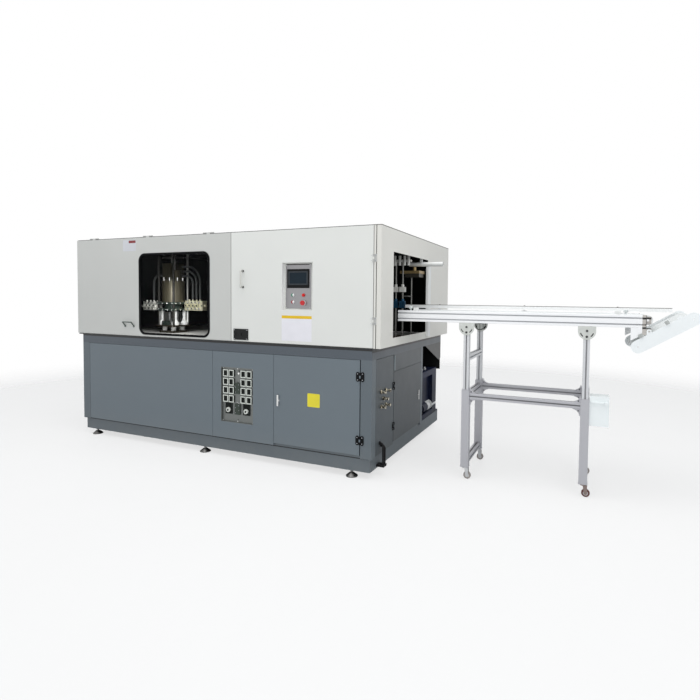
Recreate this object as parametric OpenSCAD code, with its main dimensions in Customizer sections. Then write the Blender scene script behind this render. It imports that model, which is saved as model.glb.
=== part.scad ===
// Stretch blow moulding machine with the conveyor that carries bottles out of its right end.
// All lengths are in millimetres. The machine is laid out with X = 0 at the right end of its
// cabinet, Y = 0 at the front of its doors and Z = 0 on the floor. The whole is then centred
// over the origin.

/* [Machine] */
// Length of the cabinet
machine_l = 3390; // [3300:10:3600]
// Depth of the cabinet
machine_d = 2000; // [1950:10:2200]
// Height of the roof above the floor
machine_h = 2000; // [1980:10:2100]
// Height of the machine table, where the base ends and the cabinet starts
table_z = 1045; // [1040:5:1050]
// Distance of the seam between the two front doors from the right end
seam_x = 1420; // [1400:5:1460]
// Gap round a door
door_gap = 3; // [2:1:5]
// Thickness of the sheet metal
sheet = 2.5; // [2:0.5:4]
// Depth of a folded door or panel
fold = 22; // [18:1:26]

/* [Base] */
// Step from the end of the cabinet back to the end of the base
base_inset = 71; // [50:1:80]
// Step from the front of the doors back to the front of the base
base_set = 10; // [6:1:14]
// Height of the underside of the plinth
plinth_z = 55; // [50:1:65]
// Height of the plinth rail
plinth_h = 110; // [90:1:120]
// Step from the base panels back to the plinth
plinth_inset = 20; // [10:1:30]
// Depth of the plinth and beam tubes
tube_d = 80; // [70:1:90]
// Height of the beam under the table
beam_h = 85; // [75:1:90]
// Width of a corner post
post_w = 96; // [80:1:110]
// Width of the inner posts
inner_post = 60; // [50:1:70]
// Thickness of the machine table
table_t = 10; // [8:1:14]
// Width of the front base door
base_door_w = 803; // [740:1:820]
// Distance of the front base door's hinge side from the right end
base_door_x = 176; // [170:1:200]
// Distance of the end base door's hinge side from the front
end_door_y = 495; // [470:1:520]
// Width of the end base door
end_door_w = 760; // [700:1:780]
// Height of the underside of the base doors
base_door_z = 190; // [180:1:220]
// Height of the cover above the end base door
end_cover_h = 150; // [130:1:170]
// Radius of a levelling foot's pad
foot_r = 48; // [40:1:55]
// Height of a levelling foot's pad
foot_h = 30; // [24:1:34]
// Radius of a levelling foot's stud
foot_stud_r = 8; // [6:0.5:10]

/* [Control plate] */
// Distance of the control plate's centre from the right end
plate_x = 1367; // [1360:1:1380]
// Width of the control plate
plate_w = 346; // [330:1:360]
// Height of the control plate
plate_h = 490; // [470:1:500]
// Height of the control plate's centre above the floor
plate_z = 565; // [555:1:575]
// Depth of the recess that holds the control plate
plate_recess = 18; // [14:1:20]
// Distance between regulator columns in a pair
reg_pitch_x = 62; // [56:1:66]
// Distance of a pair's inner column from the centre
reg_inner_x = 65; // [60:1:70]
// Distance between regulator rows
reg_pitch_z = 76; // [72:1:80]
// Width of a regulator's frame
reg_w = 54; // [50:1:56]
// Height of a regulator's frame
reg_h = 62; // [56:1:66]
// Radius of a selector's shaft
selector_shaft_r = 5; // [4:0.5:6]

/* [Front doors] */
// Distance of the window's right edge from the right end
window_x = 1662; // [1655:1:1680]
// Width of the window's rubber seal
window_w = 856; // [800:1:880]
// Distance from the roof down to the window's upper edge
window_top = 164; // [150:1:180]
// Height of the window's lower edge above the floor
window_z = 1068; // [1068:1:1080]
// Corner radius of the window
window_r = 70; // [50:1:80]
// Width of the rubber seal
seal_w = 14; // [10:1:18]
// Thickness of the window pane
pane_t = 5; // [4:1:6]
// Distance that the handles stand out
handle_out = 40; // [34:1:45]
// Length of the window door's handle
lift_handle_l = 127; // [110:1:140]
// Length of the control door's handle
door_handle_l = 150; // [130:1:170]
// Radius of the handle bar
handle_r = 6; // [5:0.5:8]
// Distance of the operator recess centre from the right end
hmi_x = 746; // [730:1:760]
// Width of the operator recess
hmi_w = 292; // [285:1:300]
// Height of the operator recess
hmi_h = 388; // [380:1:400]
// Height of the operator recess centre above the floor
hmi_z = 1527; // [1515:1:1540]
// Depth of the operator recess
hmi_d = 40; // [36:1:50]
// Travel of the start and stop buttons
button_travel = 4; // [3:0.5:5]
// Radius of the hinge barrels
barrel_r = 6; // [5:0.5:7]
// Radius of the hinge pins
pin_r = 3; // [2.5:0.5:3.5]

/* [End cover] */
// Distance of the end window's front edge from the front
end_window_y = 267; // [260:1:300]
// Width of the end window
end_window_w = 958; // [940:1:980]
// Height of the end window's lower edge above the floor
end_window_z = 1112; // [1100:1:1130]
// Distance from the roof down to the end window's upper edge
end_window_top = 188; // [180:1:200]
// Width of the front return of the end cover
return_w = 60; // [55:1:60]

/* [Stretch station] */
// Distance of the station's centre from the right end
station_x = 2640; // [2610:1:2660]
// Distance of the station's centre from the front
station_y = 560; // [540:1:600]
// Width of the station's square plates
station_w = 240; // [236:1:260]
// Radius of the stretch cylinder
cylinder_r = 116; // [100:1:117]
// Travel of the stretch rods
stretch_travel = 100; // [80:1:100]
// Travel of a mould half
mould_travel = 36; // [30:1:38]
// Radius of a tie column
column_r = 12; // [10:0.5:13]

/* [Conveyor] */
// Length of the conveyor's side profiles
deck_l = 1815; // [1750:5:1850]
// Distance of the conveyor's near side from the front
deck_y = 383; // [370:1:400]
// Width of the conveyor over its side profiles
deck_w = 574; // [550:1:600]
// Height of the conveyor's side profiles above the floor
deck_z = 1247; // [1235:1:1260]
// Width of an aluminium profile
profile_w = 45; // [45:1:50]
// Opening of a profile's slot
slot_w = 10; // [8:0.5:11]
// Radius of the belt rollers
roller_r = 30; // [26:1:31]
// Thickness of the belts
belt_t = 3; // [2:0.5:3]
// Distance of the left legs from the cabinet end
leg_x0 = 577; // [570:1:600]
// Distance between the left and right legs
leg_span = 868; // [800:1:880]
// Width of an outer leg tube
outer_leg = 60; // [58:1:62]
// Height of the top of the outer legs
outer_leg_top = 720; // [700:1:740]
// Height of the cross rails
rail_z = 668; // [640:1:680]
// Radius of a caster wheel
wheel_r = 29; // [27:1:31]
// Width of a caster wheel
wheel_w = 20; // [16:1:22]
// Height of a caster
caster_h = 100; // [96:1:110]
// Distance from a caster's swivel to its wheel
caster_trail = 20; // [16:1:22]
// Slope of the take-off section in degrees
incline_deg = 32; // [28:1:34]
// Distance between the take-off section's rollers
incline_l = 380; // [340:1:420]
// Half height of the take-off section's side plates
incline_r = 45; // [43:1:46]

/* [Hidden] */
$fn = 48;

fit = 0.05;
clear = 0.3;
nib = 1;

// Base box, between its outer faces
bx0 = -machine_l + base_inset - 11;
bx1 = -base_inset;
by0 = base_set;
by1 = machine_d - base_set;
frame_z1 = table_z - table_t;
beam_z = frame_z1 - beam_h;
plinth_z1 = plinth_z + plinth_h;
plinth_d = tube_d - plinth_inset;
panel_z0 = plinth_z1 + 7;
panel_z1 = beam_z - door_gap;
base_seam = base_door_x + base_door_w + 5;
left_panel_w = 650;
bay_y = end_door_y + end_door_w + 6;
bay_post_y1 = bay_y + inner_post;
rear_post_in = 460;
panel_fold = plinth_inset;
seat_d = 18;
seat_h = 20;

// Control plate
plate_y = by0 + plate_recess;
selector_dx = 96;
selector_z = plate_z - 136;
reg_top_z = plate_z + 191;
regulator_t = 14;
reg_rim = 7;
selector_back = 37;

// Doors
door_z0 = table_z + door_gap;
door_z1 = machine_h - 6;
roof_t = 3;
window_h = machine_h - window_top - window_z;
end_window_h = machine_h - end_window_top - end_window_z;
end_split_z = beam_z - end_cover_h;
roof_z = machine_h - roof_t;
lift_x0 = -machine_l;
lift_x1 = -seam_x - door_gap;
control_x0 = -seam_x + door_gap;
control_x1 = -return_w - 5;
hinge_leaf_t = 3;
control_axis = [-return_w - 2.5, -barrel_r];
base_axis = [-base_door_x + 4.5, by0 - barrel_r];
end_axis = [bx1 + barrel_r, end_door_y - 4.5];
lift_axis = [5, machine_h + 5];
lift_barrel_r = 5;
lift_knuckle_l = 40;
knuckle_l = 20;
leaf_w = 26;
base_knuckle_l = 22;

// Operator panel
op_x = -hmi_x - 11;
op_w = 244;
op_h = 372;
op_t = 3;
op_y = hmi_d - op_t;
screen_w = 211;
screen_h = 157;
screen_t = 6;
screen_z = hmi_z + 64;
start_at = [op_x - 51, hmi_z - 73];
stop_at = [op_x - 51, hmi_z - 131];
lamp_at = [op_x + 52, hmi_z - 73];
estop_at = [op_x + 52, hmi_z - 137];
neck_r = 11;
bezel_r = 14;
bezel_t = 6;
cap_r = 9;
cap_out = button_travel + 3;
stem_r = 5;
estop_stem_r = 8;
estop_r = 20;

// Cabinet frame
cab_post = 60;
cab_front = fold + 8;
cab_top = roof_z - cab_post;

// Station
sx = -station_x;
sy = station_y;
cab_h = machine_h - table_z;
block_h = 83;
block_z1 = table_z + block_h;
block_y = station_w / 2 - 4;
foot_z = 24;
pedestal_z = 68;
station_plate_t = 22;
plate1_z = table_z + 0.25 * cab_h;
plate2_z = plate1_z + 3 * station_plate_t;
cyl_z0 = plate2_z + station_plate_t;
cyl_z1 = table_z + 0.58 * cab_h;
cap_z1 = table_z + 0.7 * cab_h;
cap_cyl_r = cylinder_r - 32;
carriage_z = cap_z1 + stretch_travel + 25;
carriage_t = 18;
carriage_l = 180;
carriage_w = 120;
top_plate_z = carriage_z + carriage_t + 30;
tie_at = station_w / 2 - column_r - 6;
rod_r = 6;
rod_dx = 20;
ram_at = [88, 64];
ram_r = 17;
ram_foot_r = 39;
mould_z0 = block_z1 + clear;
mould_h = plate1_z - mould_z0 - 18;
mould_w = 52;
mould_l = 94;
mould_gap = mould_travel + 4;
cavity_r = 14;
cavity_z = 40;
guide_bar_r = 7;
guide_bar_z = block_z1 + 22;
guide_bar_dx = 30;
cheek_t = 12;
cheek_h = 44;
cheek_l = 96;
hose_r = 11;
hose_y = carriage_w / 2 + hose_r + 6;
manifold_w = 110;
block_d = 70;
stud_pitch = 50;
stud_h = 14;

// Conveyor
yn = deck_y;
yf = deck_y + deck_w;
deck_h = 2 * profile_w;
deck_z1 = deck_z + deck_h;
yn_mid = yn + profile_w / 2;
yf_mid = yf - profile_w / 2;
leg_xs = [leg_x0, leg_x0 + leg_span];
leg_ys = [yn_mid, yf_mid];
inner_w = profile_w;
outer_in = inner_w + 2 * 0.5;
inner_z0 = outer_leg_top - 160;
bracket_r = 60;
bracket_t = 6;
inner_z1 = deck_z - bracket_t;
upper_rail_z = deck_z - 277;
roller_z = deck_z1 - belt_t - roller_r - clear - 4;
tail_x = 45;
drive_x = deck_l + 15;
axle_r = 8;
bearing_t = 6;
belt_y0 = yn + profile_w + 12;
belt_y1 = yf - profile_w - 12;
inc_x0 = deck_l - 45;
inc_z0 = deck_z - 132;
inc_dir = [cos(incline_deg), sin(incline_deg)];
inc_x1 = inc_x0 + incline_l * inc_dir[0];
inc_z1 = inc_z0 + incline_l * inc_dir[1];
inc_pivot = [deck_l + 20, deck_z - 22];
inc_plate_t = 6;
inc_yn = yn - clear - inc_plate_t;
inc_yf = yf + clear + inc_plate_t;
inc_pin_out = 3;
inc_roller_r = 25;
inc_axle_r = 6;
inc_pin_r = 6;
inc_belt_r = inc_roller_r + clear + belt_t;
inc_belt_y0 = yn + 12;
inc_belt_y1 = yf - 12;

x_max = inc_x1 + incline_r;
x_min = -machine_l;
y_min = -handle_out;
y_max = machine_d;
origin = [-(x_max + x_min) / 2, -(y_max + y_min) / 2, 0];

// A box between two corners
module box(a, b) { translate(a) cube([b[0] - a[0], b[1] - a[1], b[2] - a[2]]); }

// A flat outline with round corners
module round_rect(w, h, r) {
    square([w - 2 * r, h], center = true);
    square([w, h - 2 * r], center = true);
    for (x = [-1, 1]) for (y = [-1, 1]) translate([x * (w / 2 - r), y * (h / 2 - r)]) circle(r);
}

// Rods along each axis, from one end point
module rod_x(at, l, r) { translate(at) rotate([0, 90, 0]) cylinder(h = l, r = r); }
module rod_y(at, l, r) { translate(at) rotate([-90, 0, 0]) cylinder(h = l, r = r); }
module rod_z(at, l, r) { translate(at) cylinder(h = l, r = r); }

// An outline in X and Z, pushed from y to y + t
module plate_xz(y, t) { translate([0, y + t, 0]) rotate([90, 0, 0]) linear_extrude(t) children(); }

// A folded sheet tray that faces the front, with its open side to the back
module tray_front(x0, x1, z0, z1, y0, d, t) {
    difference() {
        box([x0, y0, z0], [x1, y0 + d, z1]);
        box([x0 + t, y0 + t, z0 + t], [x1 - t, y0 + d + nib, z1 - t]);
    }
}

// A folded sheet tray that faces the right end
module tray_end(y0, y1, z0, z1, x1, d, t) {
    difference() {
        box([x1 - d, y0, z0], [x1, y1, z1]);
        box([x1 - d - nib, y0 + t, z0 + t], [x1 - t, y1 - t, z1 - t]);
    }
}

// Section of an aluminium profile of nx by ny cells, each with undercut slots and a core bore
module profile_section(nx, ny) {
    w = profile_w;
    lip = 4;
    well = 12;
    well_w = slot_w + 8;
    difference() {
        round_rect(nx * w, ny * w, 2);
        for (i = [0 : nx - 1]) for (s = [-1, 1]) translate([(i - (nx - 1) / 2) * w, s * ny * w / 2]) {
            square([slot_w, 2 * lip + 0.2], center = true);
            translate([0, -s * (lip + (well - lip) / 2)]) square([well_w, well - lip], center = true);
        }
        for (j = [0 : ny - 1]) for (s = [-1, 1]) translate([s * nx * w / 2, (j - (ny - 1) / 2) * w]) {
            square([2 * lip + 0.2, slot_w], center = true);
            translate([-s * (lip + (well - lip) / 2), 0]) square([well - lip, well_w], center = true);
        }
        for (i = [0 : nx - 1]) for (j = [0 : ny - 1])
            translate([(i - (nx - 1) / 2) * w, (j - (ny - 1) / 2) * w]) circle(4);
    }
}

module profile_x(x, y, z, l, nz) {
    translate([x, y, z]) rotate([90, 0, 90]) linear_extrude(l) profile_section(1, nz);
}
module profile_y(x, y, z, l) {
    translate([x, y + l, z]) rotate([90, 0, 0]) linear_extrude(l) profile_section(1, 1);
}
module profile_z(x, y, z, l) { translate([x, y, z]) linear_extrude(l) profile_section(1, 1); }

module in_place() { translate(origin) children(); }

// Welded frame of the base: plinth ring, posts, beams under the table and the bay floor
module base_frame() {
    color([0.32, 0.36, 0.40]) in_place() {
        px0 = bx0 + plinth_inset;
        px1 = bx1 - plinth_inset;
        py0 = by0 + plinth_inset;
        py1 = by1 - plinth_inset;
        difference() {
            box([px0, py0, plinth_z], [px1, py1, plinth_z1]);
            box([px0 + plinth_d, py0 + plinth_d, plinth_z - nib],
                [px1 - plinth_d, py1 - plinth_d, plinth_z1 + nib]);
            for (p = foot_points) rod_z([p[0], p[1], plinth_z - nib], plinth_h / 2, foot_stud_r + fit);
        }
        difference() {
            box([bx0, by0, beam_z], [bx1, by1, frame_z1]);
            box([bx0 + tube_d, by0 + tube_d, beam_z - nib], [bx1 - tube_d, by1 - tube_d, frame_z1 + nib]);
        }
        for (y = [py0, py1 - seat_d]) box([px0, y, plinth_z1], [px1, y + seat_d, plinth_z1 + seat_h]);
        box([px0, py0, plinth_z1], [px0 + seat_d, py1, plinth_z1 + seat_h]);
        box([px1 - seat_d, py0, plinth_z1], [px1, bay_y, plinth_z1 + seat_h]);
        for (x = [-base_seam - inner_post / 2, -base_seam - left_panel_w])
            box([x - inner_post / 2, by0 + tube_d, beam_z], [x + inner_post / 2, by1 - tube_d, frame_z1]);
        for (y = [by0, by1 - tube_d]) box([bx0, y, plinth_z1], [bx0 + post_w, y + tube_d, beam_z]);
        box([bx1 - post_w, by0, plinth_z1], [bx1, by0 + tube_d, beam_z]);
        box([bx1 - rear_post_in - tube_d, by1 - tube_d, plinth_z1], [bx1 - rear_post_in, by1, beam_z]);
        for (x = [-base_seam - inner_post / 2, -base_seam - left_panel_w])
            for (y = [by0 + panel_fold + 18, by1 - tube_d - 1])
                box([x - inner_post / 2, y, plinth_z1], [x + inner_post / 2, y + inner_post - 18, beam_z]);
        difference() {
            box([bx1 - tube_d, bay_y, plinth_z1], [bx1, bay_post_y1, beam_z]);
            box([bx1 - tube_d - nib, bay_y - nib, end_latch[1] - keeper_h],
                [bx1 - panel_fold - 1, bay_y + 16, end_latch[1] + 14]);
        }
        box([bx1 - tube_d, end_door_y - inner_post - 20, plinth_z1],
            [bx1 - panel_fold - 16, end_door_y - 20, beam_z]);
        box([bx1 - rear_post_in - tube_d, bay_post_y1, plinth_z1], [px1, py1 - seat_d, plinth_z1 + 6]);
        translate([bx1 - 6, 0, 0]) rotate([90, 0, 90]) linear_extrude(6)
            polygon([[bay_post_y1 + 80, beam_z], [by1, beam_z], [by1, beam_z - 180], [by1 - 60, beam_z - 200]]);
    }
}

foot_y_in = plinth_inset + plinth_d / 2;
foot_points = [
    for (x = [bx0 + 140, -base_seam - 780, -base_door_x - 84])
        for (y = [by0 + foot_y_in, by1 - foot_y_in]) [x, y]
];

// Levelling feet: a coned pad, a stud into the plinth and a lock nut under it
module levelling_feet() {
    color([0.75, 0.76, 0.78]) in_place() for (p = foot_points) translate([p[0], p[1], 0]) {
        cylinder(h = 8, r = foot_r);
        translate([0, 0, 8]) cylinder(h = foot_h - 8, r1 = foot_r, r2 = foot_r * 0.42);
        cylinder(h = plinth_z + plinth_h / 2 - nib, r = foot_stud_r);
        translate([0, 0, plinth_z - 12]) cylinder(h = 12, r = foot_stud_r * 1.9, $fn = 6);
    }
}

module machine_table() {
    color([0.55, 0.57, 0.58]) in_place() box([-machine_l, by0, frame_z1], [bx1, by1, table_z]);
}

// Folded front panels of the base, the right one with the opening for the control plate
module base_front_panels() {
    color([0.44, 0.47, 0.50]) in_place() {
        x1 = -base_seam + 2;
        x2 = -base_seam - left_panel_w;
        tray_front(bx0 + post_w + door_gap, x2 - door_gap, panel_z0, panel_z1, by0, panel_fold, sheet);
        difference() {
            tray_front(x2, x1, panel_z0, panel_z1, by0, panel_fold, sheet);
            box([-plate_x - plate_w / 2, by0 - nib, plate_z - plate_h / 2],
                [-plate_x + plate_w / 2, by0 + sheet + nib, plate_z + plate_h / 2]);
        }
    }
}

// Shallow folded pan behind the opening, with holes for the selector shafts and the vents
module control_plate() {
    color([0.72, 0.71, 0.70]) in_place() difference() {
        union() {
            difference() {
                box([-plate_x - plate_w / 2, by0, plate_z - plate_h / 2],
                    [-plate_x + plate_w / 2, plate_y + sheet, plate_z + plate_h / 2]);
                box([-plate_x - plate_w / 2 + sheet, by0 - nib, plate_z - plate_h / 2 + sheet],
                    [-plate_x + plate_w / 2 - sheet, plate_y, plate_z + plate_h / 2 - sheet]);
            }
            for (z = [plate_z + plate_h / 2 - 34, selector_z - 86])
                rod_y([-plate_x, plate_y - 8, z], 9, z > plate_z ? 15 : 5);
        }
        for (s = [-1, 1]) {
            rod_y([-plate_x + s * selector_dx, by0, selector_z],
                plate_recess + 2 * sheet, selector_shaft_r + fit);
        }
        for (zc = [reg_top_z - 1.6 * reg_pitch_z, selector_z + 20]) for (i = [-4 : 4])
            translate([-plate_x, plate_y - nib, zc + i * 11]) rotate([-90, 0, 0])
                linear_extrude(sheet + 2 * nib) rotate(25) round_rect(34, 4, 1.9);
    }
}

// Sixteen framed heater regulators and the two square selector backs, seated on the control plate
module heater_regulators() {
    color([0.10, 0.11, 0.12]) in_place() {
        for (s = [-1, 1]) for (c = [0, 1]) for (r = [0 : 3])
            translate([-plate_x + s * (reg_inner_x + c * reg_pitch_x), plate_y - regulator_t, reg_top_z])
                translate([0, 0, -r * reg_pitch_z]) regulator();
        for (s = [-1, 1]) translate([-plate_x + s * selector_dx, 0, selector_z]) difference() {
            box([-selector_back, plate_y - 6, -selector_back], [selector_back, plate_y, selector_back + 25]);
            box([-selector_back + 8, plate_y - 6 - nib, 30],
                [selector_back - 8, plate_y - 4, selector_back + 19]);
            rod_y([0, plate_y - 8, 0], 10, selector_shaft_r + fit);
        }
    }
}
module regulator() {
    difference() {
        translate([-reg_w / 2, 0, -reg_h / 2]) cube([reg_w, regulator_t, reg_h]);
        translate([-reg_w / 2 + reg_rim, -nib, -reg_h / 2 + reg_rim])
            cube([reg_w - 2 * reg_rim, nib + 5, reg_h - 2 * reg_rim]);
    }
    translate([-6, 3, -9]) cube([12, 3, 18]);
}

// A selector: a round knob with a pointer bar on a shaft through the plate
module selector(s) {
    color([0.85, 0.85, 0.84]) in_place() translate([-plate_x + s * selector_dx, 0, selector_z]) {
        rod_y([0, plate_y - 20, 0], 13.7, 21);
        rod_y([0, plate_y - 20, 0], 20 + sheet + 14, selector_shaft_r);
        translate([-4, plate_y - 27, -19]) cube([8, 8, 38]);
    }
}
module left_selector() { selector(-1); }
module right_selector() { selector(1); }

// End panel with its coupling holes, and the low cover above the end door
module base_end_panel() {
    color([0.38, 0.41, 0.42]) in_place() {
        difference() {
            tray_end(by0 + tube_d + door_gap, end_door_y - 9, panel_z0, panel_z1, bx1, panel_fold, sheet);
            for (p = coupling_points) rod_x([bx1 - panel_fold, p[0], p[1]], 2 * panel_fold, 9.2);
            for (p = conduit_points) rod_x([bx1 - panel_fold, p[0], p[1]], 2 * panel_fold, 9.2);
        }
        tray_end(end_door_y, end_door_y + end_door_w, end_split_z + door_gap, beam_z, bx1, panel_fold, sheet);
        box([bx1 - nib, end_door_y + 5, end_split_z + 12], [bx1 + 3, end_door_y + 17, beam_z - 12]);
    }
}

// Rear panels and the left end panel of the base
module base_side_panels() {
    color([0.38, 0.41, 0.42]) in_place() {
        xs = [bx0 + post_w + door_gap, -base_seam - left_panel_w - 2, -base_seam - 2,
            bx1 - rear_post_in - tube_d - door_gap];
        for (i = [0 : 2]) translate([0, 2 * by1, 0]) mirror([0, 1, 0])
            tray_front(xs[i], xs[i + 1] - door_gap, panel_z0, panel_z1, by1, panel_fold, sheet);
        translate([2 * bx0, 0, 0]) mirror([1, 0, 0])
            tray_end(by0 + tube_d + door_gap, by1 - tube_d - door_gap,
                panel_z0, panel_z1, bx0, panel_fold, sheet);
    }
}

coupling_c = [246, 615];
coupling_points = concat([coupling_c],
    [for (a = [35, 145, 215, 325]) [coupling_c[0] + 62 * cos(a), coupling_c[1] + 105 * sin(a)]]);
conduit_points = [[176, 262], [212, 236]];
conduit_bend = 26;
conduit_r = 8;

// Air couplings on the end panel, fittings on the air unit and the valve blocks of the station
module air_valves() {
    color([0.80, 0.78, 0.70]) in_place() {
        for (p = coupling_points) {
            rod_x([bx1 - 12, p[0], p[1]], 12, 9);
            translate([bx1, p[0], p[1]]) rotate([0, 90, 0]) cylinder(h = 12, r = 17, $fn = 6);
            rod_x([bx1 + 12, p[0], p[1]], 26, 11);
            rod_x([bx1 + 38, p[0], p[1]], 10, 14);
        }
        for (y = [air_y + 90, air_y + 200, air_y + 310]) {
            rod_z([air_x1 - 60, y, air_z1], 16, 16);
            rod_z([air_x1 - 60, y, air_z1 + 16], 12, 10);
        }
        valve_block(0, 240, 104);
        valve_block(180, 200, 92);
    }
}
module valve_block(turn, l, h) {
    translate([sx, sy, plate1_z]) rotate(turn) translate([station_w / 2, hose_y - block_d / 2, 0]) {
        box([0, 0, 0], [l, block_d, h]);
        for (x = [30 : stud_pitch : l - 20]) {
            translate([x, turn > 0 ? block_d - nib : -24, h / 2]) rod_y([0, 0, 0], 24 + nib, 15);
            rod_z([x, block_d / 2, h - nib], stud_h + nib, 9);
        }
        rod_x([l - nib, block_d / 2, h / 2], 26, 13);
    }
}

air_x1 = bx1 - 24;
air_y = bay_post_y1 + 30;
air_z1 = 668;
air_w = 560;
air_d = 330;

// Blue air preparation unit in the open bay: a stepped housing on a skid with a drum on its side
module air_unit() {
    color([0.10, 0.13, 0.26]) in_place() {
        z0 = plinth_z1 + 6;
        box([air_x1 - air_d, air_y, z0], [air_x1, air_y + air_w, z0 + 50]);
        box([air_x1 - air_d, air_y + 40, z0 + 50], [air_x1 - 40, air_y + air_w - 90, air_z1 - 60]);
        box([air_x1 - air_d, air_y, air_z1 - 60], [air_x1, air_y + air_w, air_z1]);
        box([air_x1 - 80, air_y + air_w - 150, z0 + 50], [air_x1, air_y + air_w, air_z1 - 60]);
        rod_y([air_x1 - 52, air_y + 120, z0 + 50 + 52], 220, 52);
    }
}

// A hinge on an upright axis: fixed leaf with the outer knuckles and the pin, or the moving one
module knuckles(l, part) {
    h = l / 2;
    if (part == "fixed") {
        for (z = [-3 * h, h]) translate([0, 0, z]) cylinder(h = l, r = barrel_r);
        translate([0, 0, -3 * h]) cylinder(h = 3 * l, r = pin_r);
    } else {
        difference() {
            translate([0, 0, -h + clear]) cylinder(h = l - 2 * clear, r = barrel_r);
            translate([0, 0, -l]) cylinder(h = 2 * l, r = pin_r + fit);
        }
    }
}
control_hinge_z = [table_z + 213, machine_h - 257];
base_hinge_z = [base_door_z + 121, beam_z - 134];
end_hinge_z = [base_door_z + 140, beam_z - 270];
lift_hinge_x = [lift_x0 + 250, (lift_x0 + lift_x1) / 2, lift_x1 - 250];

// Fixed halves of every door hinge, with their pins
module door_hinges() {
    color([0.12, 0.12, 0.13]) in_place() {
        for (z = control_hinge_z) translate([control_axis[0], control_axis[1], z]) {
            knuckles(knuckle_l, "fixed");
            for (s = [-1, 1]) translate([0, 3, s * knuckle_l - knuckle_l / 2])
                cube([leaf_w, hinge_leaf_t, knuckle_l]);
            translate([6.5, 3, -1.5 * knuckle_l]) cube([leaf_w - 6.5, hinge_leaf_t, 3 * knuckle_l]);
        }
        for (z = base_hinge_z) translate([base_axis[0], base_axis[1], z]) {
            knuckles(base_knuckle_l, "fixed");
            for (s = [-1, 1]) translate([0, 2, s * base_knuckle_l - base_knuckle_l / 2])
                cube([leaf_w, 4, base_knuckle_l]);
            translate([6.5, 2, -1.5 * base_knuckle_l]) cube([leaf_w - 6.5, 4, 3 * base_knuckle_l]);
        }
        for (z = end_hinge_z) translate([end_axis[0], end_axis[1], z]) {
            knuckles(base_knuckle_l, "fixed");
            for (s = [-1, 1]) translate([-6, -leaf_w, s * base_knuckle_l - base_knuckle_l / 2])
                cube([4, leaf_w, base_knuckle_l]);
            translate([-6, -leaf_w, -1.5 * base_knuckle_l]) cube([4, leaf_w - 6.5, 3 * base_knuckle_l]);
        }
        for (x = lift_hinge_x) {
            for (s = [-1, 1]) translate([x + s * lift_knuckle_l - lift_knuckle_l / 2, 0, 0]) {
                rod_x([0, lift_axis[0], lift_axis[1]], lift_knuckle_l, lift_barrel_r);
                box([0, 6.2, machine_h], [lift_knuckle_l, 34, machine_h + 3]);
            }
            rod_x([x - 1.5 * lift_knuckle_l, lift_axis[0], lift_axis[1]], 3 * lift_knuckle_l, 2.5);
        }
    }
}

// Front base door with its moving hinge leaves and the hole for the latch shaft
latch_r = 6;
keeper_h = 56;
front_latch = [-base_door_x - base_door_w + 47, 562];
end_latch = [end_door_y + end_door_w - 84, 487];
module base_front_door() {
    color([0.44, 0.47, 0.50]) in_place() {
        difference() {
            tray_front(-base_door_x - base_door_w, -base_door_x, base_door_z, beam_z - door_gap,
                by0, panel_fold, sheet);
            rod_y([front_latch[0], by0 - nib, front_latch[1]], panel_fold, latch_r + fit);
        }
        for (z = base_hinge_z) translate([base_axis[0], base_axis[1], z]) {
            knuckles(base_knuckle_l, "moving");
            h = base_knuckle_l / 2 - clear;
            difference() {
                translate([-leaf_w - 2, 2, -h]) cube([leaf_w + 2, 4, 2 * h]);
                translate([0, 0, -base_knuckle_l]) cylinder(h = 2 * base_knuckle_l, r = pin_r + fit);
            }
            translate([-leaf_w - 2, 2, -1.5 * base_knuckle_l]) cube([leaf_w - 5, 4, 3 * base_knuckle_l]);
        }
    }
}

// A quarter-turn latch: flat lever outside, shaft through the door and a cam tongue inside
module latch_parts(door_fold) {
    translate([-8, -14, -47]) cube([16, 8, 94]);
    rod_y([0, -6, 0], door_fold + 16, latch_r);
    rod_y([0, -6, 0], 6 - clear, 12);
}
module front_door_latch() {
    color([0.90, 0.90, 0.88]) in_place() translate([front_latch[0], by0, front_latch[1]]) {
        latch_parts(panel_fold);
        translate([-9, panel_fold + 5, -70]) cube([18, 4, 78]);
    }
}

module base_end_door() {
    color([0.38, 0.41, 0.42]) in_place() {
        difference() {
            tray_end(end_door_y, end_door_y + end_door_w, base_door_z, end_split_z, bx1, panel_fold, sheet);
            rod_x([bx1 - panel_fold, end_latch[0], end_latch[1]], 2 * panel_fold, latch_r + fit);
        }
        for (z = end_hinge_z) translate([end_axis[0], end_axis[1], z]) {
            knuckles(base_knuckle_l, "moving");
            h = base_knuckle_l / 2 - clear;
            difference() {
                translate([-6, 0, -h]) cube([4, leaf_w + 2, 2 * h]);
                translate([0, 0, -base_knuckle_l]) cylinder(h = 2 * base_knuckle_l, r = pin_r + fit);
            }
            translate([-6, 7, -1.5 * base_knuckle_l]) cube([4, leaf_w - 5, 3 * base_knuckle_l]);
        }
    }
}
module end_door_latch() {
    color([0.90, 0.90, 0.88]) in_place() translate([bx1, end_latch[0], end_latch[1]]) rotate([0, 0, 90]) {
        latch_parts(panel_fold);
        translate([-9, panel_fold + 5, -98]) cube([18, 4, 106]);
    }
}

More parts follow.
